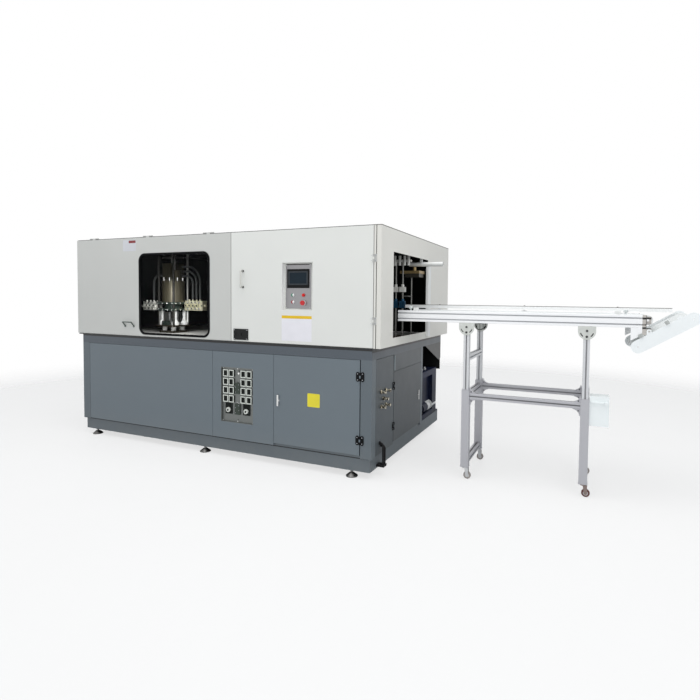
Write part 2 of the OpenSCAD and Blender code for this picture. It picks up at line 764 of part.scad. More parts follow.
// Welded frame of the cabinet
module cabinet_frame() {
    color([0.60, 0.61, 0.60]) in_place() {
        x_l = -machine_l + sheet;
        x_r = -sheet;
        x_m = -seam_x;
        ys = [cab_front, machine_d - sheet - cab_post];
        for (y = ys) {
            box([x_l, y, table_z], [x_l + cab_post, y + cab_post, roof_z]);
            box([x_m - cab_post / 2, y, table_z], [x_m + cab_post / 2, y + cab_post, roof_z]);
            box([x_r - cab_post, y, table_z + 30], [x_r, y + cab_post, roof_z]);
            box([bx1 - cab_post, y, table_z], [bx1, y + cab_post, table_z + 30]);
            box([bx1 - cab_post, y, table_z + 30], [x_r - cab_post, y + cab_post, table_z + 60]);
            box([x_l, y, cab_top], [x_r, y + cab_post, roof_z]);
        }
        for (x = [x_l, x_m - cab_post / 2, x_r - cab_post])
            box([x, ys[0], cab_top], [x + cab_post, ys[1], roof_z]);
    }
}

module roof_cover() {
    color([0.87, 0.87, 0.84]) in_place() box([-machine_l, 6, roof_z], [0, machine_d, machine_h]);
}

// Back covers and left end cover
module rear_covers() {
    color([0.87, 0.87, 0.84]) in_place() {
        box([-machine_l, cab_front - 4, table_z], [-machine_l + sheet, machine_d, roof_z]);
        box([-machine_l, machine_d - sheet, table_z], [-return_w - 4, machine_d, roof_z]);
    }
}

// Right end cover, folded round both corners, with the window that the conveyor enters, the seam
// of its front corner and a rounded post on the rear edge of the window
post_y = end_window_y + end_window_w - 62;
post_d = 30;
post_h = end_window_h - 24;
seam_in = 43;
seam_w = 6;
seam_d = 11;
module right_end_cover() {
    color([0.82, 0.81, 0.78]) in_place() {
        difference() {
            union() {
                difference() {
                    box([-return_w, 0, table_z], [0, machine_d, roof_z]);
                    box([-return_w - nib, sheet, table_z - nib], [-sheet, machine_d - sheet, roof_z + nib]);
                    box([-return_w, end_window_y, end_window_z],
                        [nib, end_window_y + end_window_w, end_window_z + end_window_h]);
                }
                box([-return_w, 0, table_z], [-return_w + sheet, fold, roof_z]);
                box([-seam_in - 6, sheet / 2, table_z], [-seam_in + seam_w + 6, seam_d + 3, roof_z]);
            }
            box([-seam_in, -nib, table_z - nib], [-seam_in + seam_w, seam_d, roof_z + nib]);
        }
        translate([0, post_y, end_window_z - 42]) linear_extrude(post_h) {
            translate([0, 12]) square([post_d, 48]);
            square([post_d - 12, 72]);
            for (y = [12, 60]) translate([post_d - 12, y]) circle(12);
        }
    }
}

// White guide tube above the conveyor, held from the end window's top edge
module guide_tube() {
    color([0.92, 0.92, 0.90]) in_place() {
        y = end_window_y + end_window_w - 125;
        z = end_window_z + end_window_h - 48;
        difference() {
            rod_x([-150, y, z], 335, 21);
            rod_x([-150 - nib, y, z], 335 + 2 * nib, 18.5);
        }
        box([-40, y - 12, z + 19.5], [-20, y + 12, z + 100]);
        box([-40, y - 12, z + 84], [-sheet, y + 12, z + 100]);
    }
}

// Stretch blow station: block, tie columns, plates, cylinder and the cheeks of the mould guides
module station_frame() {
    color([0.35, 0.37, 0.36]) in_place() translate([sx, sy, 0]) {
        w = station_w / 2;
        difference() {
            union() {
                box([-w + 20, -w + 20, table_z], [w - 20, w - 20, table_z + foot_z]);
                for (s = [-1, 1]) for (t = [-1, 1]) {
                    rod_z([s * 60, t * 60, table_z + foot_z - nib], pedestal_z - foot_z + 2 * nib, 25);
                    rod_z([s * tie_at, t * tie_at, block_z1 - nib], top_plate_z - block_z1 + nib, column_r);
                    translate([s * ram_at[0], t * ram_at[1], block_z1 - nib]) ram();
                }
                box([-w - 8, -block_y, table_z + pedestal_z], [w + 8, block_y, block_z1]);
                for (z = [plate1_z, plate2_z, top_plate_z]) box([-w, -w, z], [w, w, z + station_plate_t]);
                rod_z([0, 0, plate1_z + station_plate_t - nib], 2 * station_plate_t + 2 * nib, 90);
                rod_z([0, 0, cyl_z0 - nib], cyl_z1 - cyl_z0 + nib, cylinder_r);
                rod_z([0, 0, (cyl_z0 + cyl_z1) / 2], 14, cylinder_r + 3);
                rod_z([0, 0, cyl_z1 - nib], cap_z1 - cyl_z1 + nib, cap_cyl_r);
                for (t = [-1, 1]) {
                    box([-cheek_l / 2, min(t * block_y, t * (block_y - cheek_t)), block_z1 - nib],
                        [cheek_l / 2, max(t * block_y, t * (block_y - cheek_t)), block_z1 + cheek_h]);
                    rotate(90 - 90 * t) box([-manifold_w / 2, carriage_w / 2 + 6, cap_z1 - 100],
                        [manifold_w / 2, hose_y + hose_r + 8, cap_z1 + 70]);
                }
                for (s = [-1, 1])
                    rod_y([s * guide_bar_dx, -block_y + nib, guide_bar_z], 2 * block_y - 2 * nib, guide_bar_r);
            }
            for (s = [-1, 1]) rod_z([s * rod_dx, 0, plate1_z - nib], cap_z1 - plate1_z + 2 * nib, rod_r + fit);
        }
    }
}

// A clamping ram on a coned foot, up to the lower plate
module ram() {
    foot = 22;
    cone = 34;
    cylinder(h = foot, r = ram_foot_r);
    translate([0, 0, foot]) cylinder(h = cone, r1 = ram_foot_r, r2 = ram_r);
    cylinder(h = plate1_z - block_z1 + 2 * nib, r = ram_r);
}

// Carriage that drives both stretch rods down through the cylinder
module stretch_carriage() {
    color([0.80, 0.81, 0.82]) in_place() translate([sx, sy, 0]) {
        box([-carriage_l / 2, -carriage_w / 2, carriage_z],
            [carriage_l / 2, carriage_w / 2, carriage_z + carriage_t]);
        for (s = [-1, 1]) rod_z([s * rod_dx, 0, plate1_z - 14], carriage_z - plate1_z + 14 + nib, rod_r);
        rod_z([0, 0, carriage_z + carriage_t - nib], 24, 26);
    }
}

// One mould half, with bores for the two guide bars and two bottle cavities
module mould_half(t) {
    color([0.86, 0.87, 0.88]) in_place() translate([sx, sy, mould_z0]) mirror([0, t < 0 ? 1 : 0, 0])
    difference() {
        union() {
            box([-mould_l / 2, mould_gap, 0], [mould_l / 2, mould_gap + mould_w, mould_h]);
            box([-mould_l / 2 + 12, mould_gap + mould_w - nib, cheek_h + 12],
                [mould_l / 2 - 12, mould_gap + mould_w + 9, mould_h]);
        }
        for (s = [-1, 1]) {
            rod_y([s * guide_bar_dx, mould_gap - nib, guide_bar_z - mould_z0],
                mould_w + 2 * nib, guide_bar_r + fit);
            rod_z([s * rod_dx, mould_gap, cavity_z], mould_h, cavity_r);
        }
    }
}
module front_mould() { mould_half(-1); }
module rear_mould() { mould_half(1); }

// Black conduits from the end panel down into the plinth, and the hoses of the blow cylinder
module hoses_and_conduits() {
    color([0.06, 0.06, 0.07]) in_place() {
        for (p = conduit_points) conduit(p);
        for (i = [0 : 2]) station_hose(0, 80 + stud_pitch * i, 80 + 45 * i, cap_z1 - 60 + 50 * i, 104);
        station_hose(180, 80, 80, cap_z1 - 60, 92);
    }
}
module conduit(p) {
    rod_x([bx1 - 14, p[0], p[1]], 14, 9);
    rod_x([bx1, p[0], p[1]], 8, 14);
    translate([bx1 + 8, p[0], p[1] - conduit_bend]) rotate([90, 0, 0]) rotate_extrude(angle = 90)
        translate([conduit_bend, 0]) circle(conduit_r);
    rod_z([bx1 + 8 + conduit_bend, p[0], plinth_z + 20], p[1] - conduit_bend - plinth_z - 20, conduit_r);
    box([bx1 - plinth_inset, p[0] - 14, plinth_z + 14],
        [bx1 + 8 + conduit_bend + 12, p[0] + 14, plinth_z + 32]);
}

// A hose from the cap manifold, bent down to a stud of the valve block of height h
module station_hose(turn, run, bend, z_top, h) {
    x1 = station_w / 2 + run;
    z0 = plate1_z + h + stud_h;
    translate([sx, sy, 0]) rotate(turn) translate([0, hose_y, 0]) {
        rod_x([manifold_w / 2, 0, z_top], x1 - bend - manifold_w / 2, hose_r);
        translate([x1 - bend, 0, z_top - bend]) rotate([90, 0, 0]) rotate_extrude(angle = 90)
            translate([bend, 0]) circle(hose_r);
        rod_z([x1, 0, z0], z_top - bend - z0, hose_r);
    }
}

// Preform heating oven: a reflector housing with its rows of lamps
oven_x = -1250;
oven_y = 1050;
oven_l = 760;
oven_w = 420;
oven_h = cab_h - 435;
oven_wall = 130;
oven_gap = 160;
oven_floor = 90;
lamp_r = 6;
lamp_pitch = 55;
module preform_oven() {
    color([0.50, 0.50, 0.50]) in_place() translate([oven_x, oven_y, table_z]) {
        difference() {
            box([0, 0, 0], [oven_l, oven_w, oven_h]);
            box([-nib, oven_wall, oven_floor], [oven_l + nib, oven_wall + oven_gap, oven_h + nib]);
        }
        for (z = [oven_floor + 50 : lamp_pitch : oven_h - 60]) rod_x([0, oven_wall, z], oven_l, lamp_r);
    }
}

// Preform transfer unit behind the end window: two rods with clamps and pump blocks, a header with
// its cylinders, and a brass plate on a post
tr_y = 950;
tr_xs = [-231, -163];
tr_post = [-110, 1050];
tr_drop = 220;
tr_clamp_drop = 504;
tr_plate_drop = 328;
tr_pump_over_deck = 7;
tr_top = cab_h - tr_drop;
tr_clamp_z = cab_h - tr_clamp_drop;
tr_plate_z = cab_h - tr_plate_drop;
tr_pump_z = deck_z1 + tr_pump_over_deck - table_z;
module transfer_unit() {
    color([0.62, 0.56, 0.40]) in_place() translate([0, 0, table_z]) {
        box([tr_xs[0] - 50, tr_y - 70, 0], [-20, tr_post[1] + 130, 24]);
        for (x = tr_xs) {
            rod_z([x, tr_y, 23], tr_top - 23, 8);
            box([x - 26, tr_y - 24, tr_clamp_z], [x + 26, tr_y + 24, tr_clamp_z + 48]);
            rod_z([x, tr_y, tr_clamp_z + 47], 24, 14);
            box([x - 24, tr_y - 25, tr_pump_z], [x + 24, tr_y + 25, tr_pump_z + 67]);
            rod_z([x, tr_y, tr_pump_z + 66], 20, 15);
        }
        box([tr_xs[0] - 26, tr_y - 20, tr_top - 1], [tr_post[0] + 30, tr_y + 20, tr_top + 20]);
        for (x = [tr_xs[0] - 2, tr_xs[0] + 46, tr_xs[1] + 26, tr_post[0] + 12])
            rod_z([x, tr_y - 28, tr_top - 34], 90, 13);
        rod_z([tr_post[0], tr_post[1], 23], tr_plate_z - 22, 7);
        box([tr_xs[1] - 6, tr_y - 6, tr_clamp_z - 44], [tr_post[0] + 5, tr_post[1] + 5, tr_clamp_z - 34]);
        box([-151, tr_y + 24, tr_plate_z - 34], [-12, tr_post[1] + 60, tr_plate_z + 1]);
        box([-201, tr_y + 20, tr_plate_z], [-8, tr_post[1] + 80, tr_plate_z + 26]);
        rod_z([-64, tr_y + 50, tr_plate_z + 25], 34, 15);
        rod_y([-60, tr_post[1] - 10, 190], 120, 18);
        box([tr_post[0] - 8, tr_post[1] - 8, 182], [-60, tr_post[1] + 8, 198]);
    }
}

// Lift-up front door with the window opening and the tabs that roll round its top hinge
module lift_door_panel() {
    color([0.80, 0.81, 0.79]) in_place() {
        difference() {
            tray_front(lift_x0, lift_x1, door_z0, door_z1, 0, fold, sheet);
            plate_xz(-nib, sheet + 2 * nib) translate([-window_x - window_w / 2, window_z + window_h / 2])
                round_rect(window_w, window_h, window_r);
        }
        for (x = lift_hinge_x) difference() {
            union() {
                rod_x([x - lift_knuckle_l / 2 + clear, lift_axis[0], lift_axis[1]],
                    lift_knuckle_l - 2 * clear, lift_barrel_r);
                box([x - lift_knuckle_l / 2 + clear, 0, door_z1 - nib],
                    [x + lift_knuckle_l / 2 - clear, sheet, lift_axis[1]]);
            }
            rod_x([x - lift_knuckle_l, lift_axis[0], lift_axis[1]], 2 * lift_knuckle_l, 2.5 + fit);
        }
    }
}

module window_outline(grow) {
    translate([-window_x - window_w / 2, window_z + window_h / 2])
        round_rect(window_w + 2 * grow, window_h + 2 * grow, window_r + grow);
}

// Rubber seal: a core in the opening and a lip over the front of the door
module window_seal() {
    color([0.05, 0.05, 0.05]) in_place() difference() {
        union() {
            plate_xz(-3, 3) window_outline(6);
            plate_xz(-nib, nib + sheet + 3) window_outline(0);
        }
        plate_xz(-4, sheet + 12) window_outline(-seal_w);
    }
}
module window_pane() {
    color([0.55, 0.62, 0.65, 0.4]) in_place() plate_xz(sheet + 3, pane_t) window_outline(-2);
}

// A bow handle on two legs that lean up by a tilt; its bar runs along X, or along Z when turned
handle_foot = 5;
lift_handle_at = [-2652, door_z0 + 90];
lift_handle_tilt = 50;
module bow_handle(l, tilt = 0) {
    bar = [-(handle_out - handle_r) / cos(tilt), l / 2 - handle_r];
    start = tilt > 0 ? handle_r * tan(tilt) + 0.2 : 0;
    for (s = [-1, 1]) {
        rod_y([s * bar[1], -handle_foot, 0], handle_foot, handle_r + 4);
        rotate([-tilt, 0, 0]) {
            rod_y([s * bar[1], bar[0], 0], -bar[0] - start, handle_r);
            translate([s * bar[1], bar[0], 0]) sphere(handle_r);
        }
    }
    rotate([-tilt, 0, 0]) rod_x([-bar[1], bar[0], 0], 2 * bar[1], handle_r);
}
module lift_handle() {
    color([0.10, 0.10, 0.11]) in_place() translate([lift_handle_at[0], 0, lift_handle_at[1]])
        bow_handle(lift_handle_l, lift_handle_tilt);
}

// Control door with the recess for the operator panel
module control_door_panel() {
    x0 = -hmi_x - hmi_w / 2;
    x1 = -hmi_x + hmi_w / 2;
    z0 = hmi_z - hmi_h / 2;
    z1 = hmi_z + hmi_h / 2;
    color([0.87, 0.87, 0.85]) in_place() {
        difference() {
            union() {
                tray_front(control_x0, control_x1, door_z0, door_z1, 0, fold, sheet);
                box([x0 - sheet, sheet / 2, z0 - sheet], [x1 + sheet, hmi_d + sheet, z1 + sheet]);
            }
            box([x0, -nib, z0], [x1, hmi_d, z1]);
            for (p = [start_at, stop_at, lamp_at, estop_at])
                rod_y([p[0], hmi_d - nib, p[1]], 3 * sheet, neck_r + 0.2);
        }
        for (z = control_hinge_z) translate([control_axis[0], control_axis[1], z]) {
            knuckles(knuckle_l, "moving");
            h = knuckle_l / 2 - clear;
            difference() {
                translate([-leaf_w, 3, -h]) cube([leaf_w, hinge_leaf_t, 2 * h]);
                translate([0, 0, -knuckle_l]) cylinder(h = 2 * knuckle_l, r = pin_r + fit);
            }
            translate([-leaf_w, 3, -1.5 * knuckle_l]) cube([leaf_w - 6.5, hinge_leaf_t, 3 * knuckle_l]);
        }
    }
}

// Stainless operator plate with its switch bodies, lamp and bezels
module operator_panel() {
    color([0.68, 0.69, 0.71]) in_place() difference() {
        union() {
            box([op_x - op_w / 2, op_y, hmi_z - op_h / 2], [op_x + op_w / 2, hmi_d, hmi_z + op_h / 2]);
            for (p = [start_at, stop_at, lamp_at, estop_at]) {
                rod_y([p[0], op_y - bezel_t, p[1]], bezel_t + nib, p == estop_at ? bezel_r + 6 : bezel_r);
                rod_y([p[0], op_y, p[1]], 30, neck_r);
                box([p[0] - 15, hmi_d + sheet + 12, p[1] - 15], [p[0] + 15, hmi_d + sheet + 44, p[1] + 15]);
            }
            rod_y([lamp_at[0], op_y - bezel_t - 10, lamp_at[1]], 12, cap_r);
        }
        for (p = [start_at, stop_at]) {
            rod_y([p[0], op_y - bezel_t - nib, p[1]], bezel_t + nib + 3, cap_r + 0.4);
            rod_y([p[0], op_y, p[1]], 34, stem_r + fit);
        }
        rod_y([estop_at[0], op_y - bezel_t - nib, estop_at[1]], 44, estop_stem_r + fit);
    }
}
module push_button(p) {
    y0 = op_y - bezel_t - cap_out;
    rod_y([p[0], y0, p[1]], cap_out + 3, cap_r);
    rod_y([p[0], y0 + cap_out + 2, p[1]], 22, stem_r);
}
module start_button() { color([0.85, 0.95, 0.88]) in_place() push_button(start_at); }
module stop_button() { color([0.95, 0.85, 0.84]) in_place() push_button(stop_at); }
module emergency_button() {
    color([0.80, 0.10, 0.10]) in_place() {
        y0 = op_y - bezel_t - 18;
        rod_y([estop_at[0], y0, estop_at[1]], 10, estop_r);
        rod_y([estop_at[0], y0 + 9, estop_at[1]], 34, estop_stem_r);
    }
}

module touch_screen() {
    color([0.10, 0.12, 0.14]) in_place() difference() {
        box([op_x - screen_w / 2, op_y - screen_t, screen_z - screen_h / 2],
            [op_x + screen_w / 2, op_y, screen_z + screen_h / 2]);
        box([op_x - 81, op_y - screen_t - nib, screen_z - 42],
            [op_x + 81, op_y - screen_t + 1.5, screen_z + 49]);
    }
}

// Bow handle and black socket plate of the control door
door_handle_at = [-seam_x + 129, hmi_z + 62];
socket_w = 154;
socket_h = 96;
socket_r = 19;
socket_at = [-seam_x + 108, door_z0 + 60];
module door_fittings() {
    color([0.12, 0.12, 0.13]) in_place() {
        translate([door_handle_at[0], 0, door_handle_at[1]]) rotate([0, 90, 0]) bow_handle(door_handle_l);
        translate([socket_at[0], 0, socket_at[1]]) difference() {
            box([-socket_w / 2, -6, -socket_h / 2], [socket_w / 2, 0, socket_h / 2]);
            for (x = [-38, 22]) rod_y([x, -7, 0], 5, socket_r);
        }
    }
}

// Lower half of the conveyor stand: outer legs, cross rails, gussets and caster plates
module stand_frame() {
    color([0.78, 0.78, 0.82]) in_place() {
        for (x = leg_xs) for (y = leg_ys) {
            difference() {
                box([x - outer_leg / 2, y - outer_leg / 2, caster_h],
                    [x + outer_leg / 2, y + outer_leg / 2, outer_leg_top]);
                box([x - outer_in / 2, y - outer_in / 2, caster_h - nib],
                    [x + outer_in / 2, y + outer_in / 2, outer_leg_top + nib]);
            }
            box([x - 32, y - 32, caster_h - 4], [x + 32, y + 32, caster_h]);
            rod_z([x, y, caster_h - 20], 17, 5);
        }
        for (y = leg_ys) {
            profile_x(leg_xs[0] + outer_leg / 2, y, rail_z, leg_span - outer_leg, 1);
            for (s = [-1, 1]) gusset_xz(s, y);
        }
        for (x = leg_xs) for (z = [rail_z, caster_h + 40])
            profile_y(x, leg_ys[0] + outer_leg / 2, z, leg_ys[1] - leg_ys[0] - outer_leg);
    }
}

// A curved corner gusset under one end of a cross rail
gusset_l = 52;
module gusset_xz(s, y) {
    x = s < 0 ? leg_xs[0] + outer_leg / 2 : leg_xs[1] - outer_leg / 2;
    translate([x, 0, rail_z - profile_w / 2]) mirror([s > 0 ? 1 : 0, 0, 0]) plate_xz(y - 15, 30) difference() {
        translate([0, -gusset_l]) square(gusset_l);
        translate([gusset_l + 4, -gusset_l - 4]) circle(gusset_l - 2);
    }
    translate([x, 0, rail_z + profile_w / 2]) mirror([s > 0 ? 1 : 0, 0, 0]) plate_xz(y - 15, 30) difference() {
        square(gusset_l * 0.8);
        translate([gusset_l * 0.8 + 4, gusset_l * 0.8 + 4]) circle(gusset_l * 0.8 - 2);
    }
}

// Pale box on the right front leg
module control_box() {
    color([0.90, 0.93, 0.93]) in_place() {
        x0 = leg_xs[1] + outer_leg / 2;
        box([x0, leg_ys[0] - 18, 530], [x0 + 128, leg_ys[0] + 102, 745]);
        rod_y([x0 + 108, leg_ys[0] - 34, 700], 16, 12);
        box([x0 + 10, leg_ys[0] - 28, 695], [x0 + 92, leg_ys[0] - 18, 705]);
    }
}

// Swivel fork of a caster round its king pin, with the axle; the wheel trails behind
wheel_z = wheel_r;
function caster_at(i) = [leg_xs[i % 2], leg_ys[floor(i / 2)]];
module caster_fork(i) {
    p = caster_at(i);
    color([0.82, 0.82, 0.82]) in_place() translate([p[0], p[1], 0]) {
        difference() {
            union() {
                rod_z([0, 0, caster_h - 16], 12 - clear, 20);
                box([0, -wheel_w / 2 - 5, caster_h - 16], [caster_trail + 10, wheel_w / 2 + 5, caster_h - 12]);
            }
            rod_z([0, 0, 0], caster_h, 5 + fit);
        }
        for (s = [-1, 1]) plate_xz(s * (wheel_w / 2 + 3.5) - 1.5, 3) difference() {
            union() {
                polygon([[0, caster_h - 16], [caster_trail + 10, caster_h - 16],
                    [caster_trail + 11, wheel_z], [caster_trail - 11, wheel_z]]);
                translate([caster_trail, wheel_z]) circle(11);
                translate([-6, caster_h - 16]) square([caster_trail + 16, 4]);
            }
        }
        rod_y([caster_trail, -wheel_w / 2 - 5, wheel_z], wheel_w + 10, 4);
    }
}
module caster_wheel(i) {
    p = caster_at(i);
    color([0.45, 0.18, 0.14]) in_place() translate([p[0] + caster_trail, p[1], wheel_z]) rotate([90, 0, 0])
    difference() {
        union() {
            translate([0, 0, -wheel_w / 2]) cylinder(h = wheel_w, r = wheel_r - 3);
            translate([0, 0, -wheel_w / 2 + 3]) cylinder(h = wheel_w - 6, r = wheel_r);
            translate([0, 0, -wheel_w / 2 - 1.5]) cylinder(h = wheel_w + 3, r = 9);
        }
        translate([0, 0, -wheel_w]) cylinder(h = 2 * wheel_w, r = 4 + fit);
    }
}
module caster_fork_1() { caster_fork(0); }
module caster_fork_2() { caster_fork(1); }
module caster_fork_3() { caster_fork(2); }
module caster_fork_4() { caster_fork(3); }
module caster_wheel_1() { caster_wheel(0); }
module caster_wheel_2() { caster_wheel(1); }
module caster_wheel_3() { caster_wheel(2); }
module caster_wheel_4() { caster_wheel(3); }

// Conveyor bed: slotted side profiles, cross bars, slider bed, bearing plates and incline brackets
module deck_frame() {
    color([0.88, 0.89, 0.91]) in_place() {
        for (y = leg_ys) profile_x(0, y, deck_z + deck_h / 2, deck_l, 2);
        y0 = yn + profile_w;
        y1 = yf - profile_w;
        bed_z1 = roller_z + roller_r;
        for (x = [200, deck_l / 2, deck_l - 200]) box([x - 20, y0, roller_z - 18], [x + 20, y1, bed_z1 - 4]);
        box([tail_x + 45, belt_y0, bed_z1 - 4], [drive_x - 45, belt_y1, bed_z1]);
        for (y = [y0, y1 - bearing_t]) {
            difference() {
                union() {
                    box([0, y, roller_z - 26], [tail_x + 60, y + bearing_t, roller_z + 26]);
                    box([drive_x - 60, y, roller_z - 26], [drive_x + 22, y + bearing_t, roller_z + 26]);
                }
                for (x = [tail_x, drive_x]) rod_y([x, y - nib, roller_z], bearing_t + 2 * nib, axle_r + fit);
            }
        }
        for (y = [yn, yf - bearing_t]) {
            plate_xz(y, bearing_t) polygon([[deck_l - 92, deck_z], [deck_l - 92, deck_z - 90],
                [deck_l - 40, deck_z - 60], [inc_pivot[0] + 14, inc_pivot[1] - 14],
                [inc_pivot[0] + 14, deck_z - 1], [deck_l, deck_z]]);
        }
        rod_y([inc_pivot[0], inc_yn - inc_pin_out, inc_pivot[1]], yn + nib - inc_yn + inc_pin_out, inc_pin_r);
        rod_y([inc_pivot[0], yf - nib, inc_pivot[1]], inc_yf + inc_pin_out - yf + nib, inc_pin_r);
    }
}

// A belt loop in X and Z round two rollers of radius r, a distance l apart
module belt_outline(l, r) {
    circle(r);
    translate([l, 0]) circle(r);
    translate([0, -r]) square([l, 2 * r]);
}
module deck_belt() {
    color([0.90, 0.92, 0.92]) in_place() translate([tail_x, 0, roller_z]) plate_xz(belt_y0, belt_y1 - belt_y0)
    difference() {
        belt_outline(drive_x - tail_x, roller_r + clear + belt_t);
        belt_outline(drive_x - tail_x, roller_r + clear);
    }
}
module roller(x) {
    color([0.70, 0.71, 0.72]) in_place() {
        rod_y([x, belt_y0, roller_z], belt_y1 - belt_y0, roller_r);
        rod_y([x, yn + profile_w + clear, roller_z], deck_w - 2 * profile_w - 2 * clear, axle_r);
    }
}
module tail_roller() { roller(tail_x); }
module drive_roller() { roller(drive_x); }

// Bottle guide rail on three clamp brackets along the far side profile
module guide_rail() {
    color([0.88, 0.89, 0.90]) in_place() {
        y = yf_mid;
        box([-128, y - 6, deck_z1 + 12], [deck_l + 225, y + 6, deck_z1 + 44]);
        for (x = [200, deck_l / 2 + 40, deck_l - 150]) {
            rod_z([x, y + 14, deck_z1], 48, 6);
            box([x - 14, y + 6, deck_z1 + 20], [x + 14, y + 22, deck_z1 + 38]);
            box([x - 20, y + 4, deck_z1], [x + 20, y + profile_w / 2, deck_z1 + 5]);
        }
    }
}

// Inner legs with their half-round pivot brackets and upper cross rails
module inner_legs() {
    color([0.86, 0.87, 0.89]) in_place() {
        for (x = leg_xs) {
            for (y = leg_ys) profile_z(x, y, inner_z0, inner_z1 - inner_z0 - 26);
            pivot_bracket(x, yn - bracket_t, yn);
            pivot_bracket(x, yf, yf - profile_w);
            profile_y(x, leg_ys[0] + inner_w / 2, upper_rail_z, leg_ys[1] - leg_ys[0] - inner_w);
        }
    }
}
module pivot_bracket(x, y, y_flange) {
    box([x - bracket_r, min(y, y_flange), inner_z1],
        [x + bracket_r, max(y + bracket_t, y_flange + profile_w), deck_z]);
    plate_xz(y, bracket_t) translate([x, deck_z - 36]) difference() {
        union() {
            circle(bracket_r);
            translate([-bracket_r, 0]) square([2 * bracket_r, 36]);
        }
        translate([-bracket_r, 36]) square([2 * bracket_r, 2 * bracket_r]);
        for (a = [200 : 5 : 235]) rotate(a) translate([bracket_r - 16, 0]) circle(4, $fn = 16);
        for (a = [305 : 5 : 340]) rotate(a) translate([bracket_r - 16, 0]) circle(4, $fn = 16);
    }
    for (z = [-32, -74]) rod_y([x, y < yn_mid ? y - 6 : y + bracket_t, deck_z + z], 6, 8);
}

// Take-off section: two round-ended side plates with ears at the pivot, tied by bars
module incline_frame() {
    color([0.90, 0.93, 0.93]) in_place() {
        for (y = [inc_yn, inc_yf - inc_plate_t]) plate_xz(y, inc_plate_t) difference() {
            union() {
                translate([inc_x0, inc_z0]) rotate(incline_deg) belt_outline(incline_l, incline_r);
                translate(inc_pivot) circle(15);
                polygon([[inc_pivot[0] - 15, inc_pivot[1]], [inc_pivot[0] + 15, inc_pivot[1]],
                    [inc_pivot[0] + 15, inc_pivot[1] - 50], [inc_pivot[0] - 15, inc_pivot[1] - 50]]);
            }
            translate(inc_pivot) circle(inc_pin_r + fit);
            for (p = [[inc_x0, inc_z0], [inc_x1, inc_z1]]) translate(p) circle(inc_axle_r + fit);
        }
        for (d = [120, 260])
            rod_y([inc_x0 + d * inc_dir[0], inc_yn, inc_z0 + d * inc_dir[1]], inc_yf - inc_yn, 9);
        for (d = [40, 300]) translate([inc_x0, 0, inc_z0]) rotate([0, -incline_deg, 0])
            box([d, inc_yn, incline_r - 8], [d + 30, inc_yn + inc_plate_t, incline_r + 12]);
    }
}
module incline_belt() {
    color([0.90, 0.92, 0.92]) in_place() translate([inc_x0, 0, inc_z0]) rotate([0, -incline_deg, 0])
        plate_xz(inc_belt_y0, inc_belt_y1 - inc_belt_y0) difference() {
            belt_outline(incline_l, inc_belt_r);
            belt_outline(incline_l, inc_roller_r + clear);
        }
}
module incline_roller(x, z) {
    color([0.70, 0.71, 0.72]) in_place() {
        rod_y([x, inc_belt_y0, z], inc_belt_y1 - inc_belt_y0, inc_roller_r);
        rod_y([x, inc_yn, z], inc_yf - inc_yn, inc_axle_r);
    }
}
module incline_tail_roller() { incline_roller(inc_x0, inc_z0); }
module incline_drive_roller() { incline_roller(inc_x1, inc_z1); }

base_frame();
base_front_panels();
base_end_panel();
base_side_panels();
machine_table();
levelling_feet();
control_plate();
heater_regulators();
left_selector();
right_selector();
door_hinges();
air_valves();
hoses_and_conduits();
air_unit();
cabinet_frame();
roof_cover();
rear_covers();
right_end_cover();
guide_tube();
station_frame();
stretch_carriage();
front_mould();
rear_mould();
preform_oven();
transfer_unit();
lift_door_panel();
window_pane();
window_seal();
lift_handle();
control_door_panel();
operator_panel();
touch_screen();
door_fittings();
start_button();
stop_button();
emergency_button();
base_front_door();
front_door_latch();
base_end_door();
end_door_latch();
stand_frame();
control_box();
caster_fork_1();
caster_fork_2();
caster_fork_3();
caster_fork_4();
caster_wheel_1();
caster_wheel_2();
caster_wheel_3();
caster_wheel_4();
deck_frame();
deck_belt();
guide_rail();
inner_legs();
tail_roller();
drive_roller();
incline_frame();
incline_belt();
incline_tail_roller();
incline_drive_roller();
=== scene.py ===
"""Looks of a stretch blow moulding machine with its bottle conveyor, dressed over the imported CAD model."""
import math

import bmesh
import bpy
from mathutils import Matrix, Vector


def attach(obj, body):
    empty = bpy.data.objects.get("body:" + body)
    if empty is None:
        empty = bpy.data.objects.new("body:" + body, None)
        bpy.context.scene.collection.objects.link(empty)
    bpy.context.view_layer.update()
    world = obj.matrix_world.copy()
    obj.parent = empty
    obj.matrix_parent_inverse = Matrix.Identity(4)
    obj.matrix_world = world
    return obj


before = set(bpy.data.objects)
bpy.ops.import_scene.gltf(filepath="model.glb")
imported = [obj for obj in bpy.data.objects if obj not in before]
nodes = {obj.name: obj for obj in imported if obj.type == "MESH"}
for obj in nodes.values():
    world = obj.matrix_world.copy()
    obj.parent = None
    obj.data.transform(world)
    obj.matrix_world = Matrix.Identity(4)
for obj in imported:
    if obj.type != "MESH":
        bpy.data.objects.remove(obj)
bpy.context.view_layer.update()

# The machine's own lengths are in millimetres from the right end, the door fronts and the floor
CABINET_L, CABINET_D, CABINET_H = 3390, 2000, 2000
TABLE_Z = 1045
INCLINE_DEG, INCLINE_L, INCLINE_R = 32, 380, 45
DECK_L, DECK_Y, DECK_W, DECK_Z, DECK_TOP = 1815, 383, 574, 1247, 1337
HANDLE_OUT = 40
BASE_END = -71
INCLINE_X = DECK_L - 45
REACH = INCLINE_X + INCLINE_L * math.cos(math.radians(INCLINE_DEG)) + INCLINE_R
SHIFT = Vector((-(REACH - CABINET_L) / 2, -(CABINET_D - HANDLE_OUT) / 2, 0))


def at(x, y, z):
    """A point of the machine, in metres of the model's frame."""
    return (Vector((x, y, z)) + SHIFT) / 1000


def on(axis, value):
    """Where a machine coordinate lies along one axis of the model, in metres."""
    return (value + SHIFT["xyz".index(axis)]) / 1000


# Shader values as Python expressions

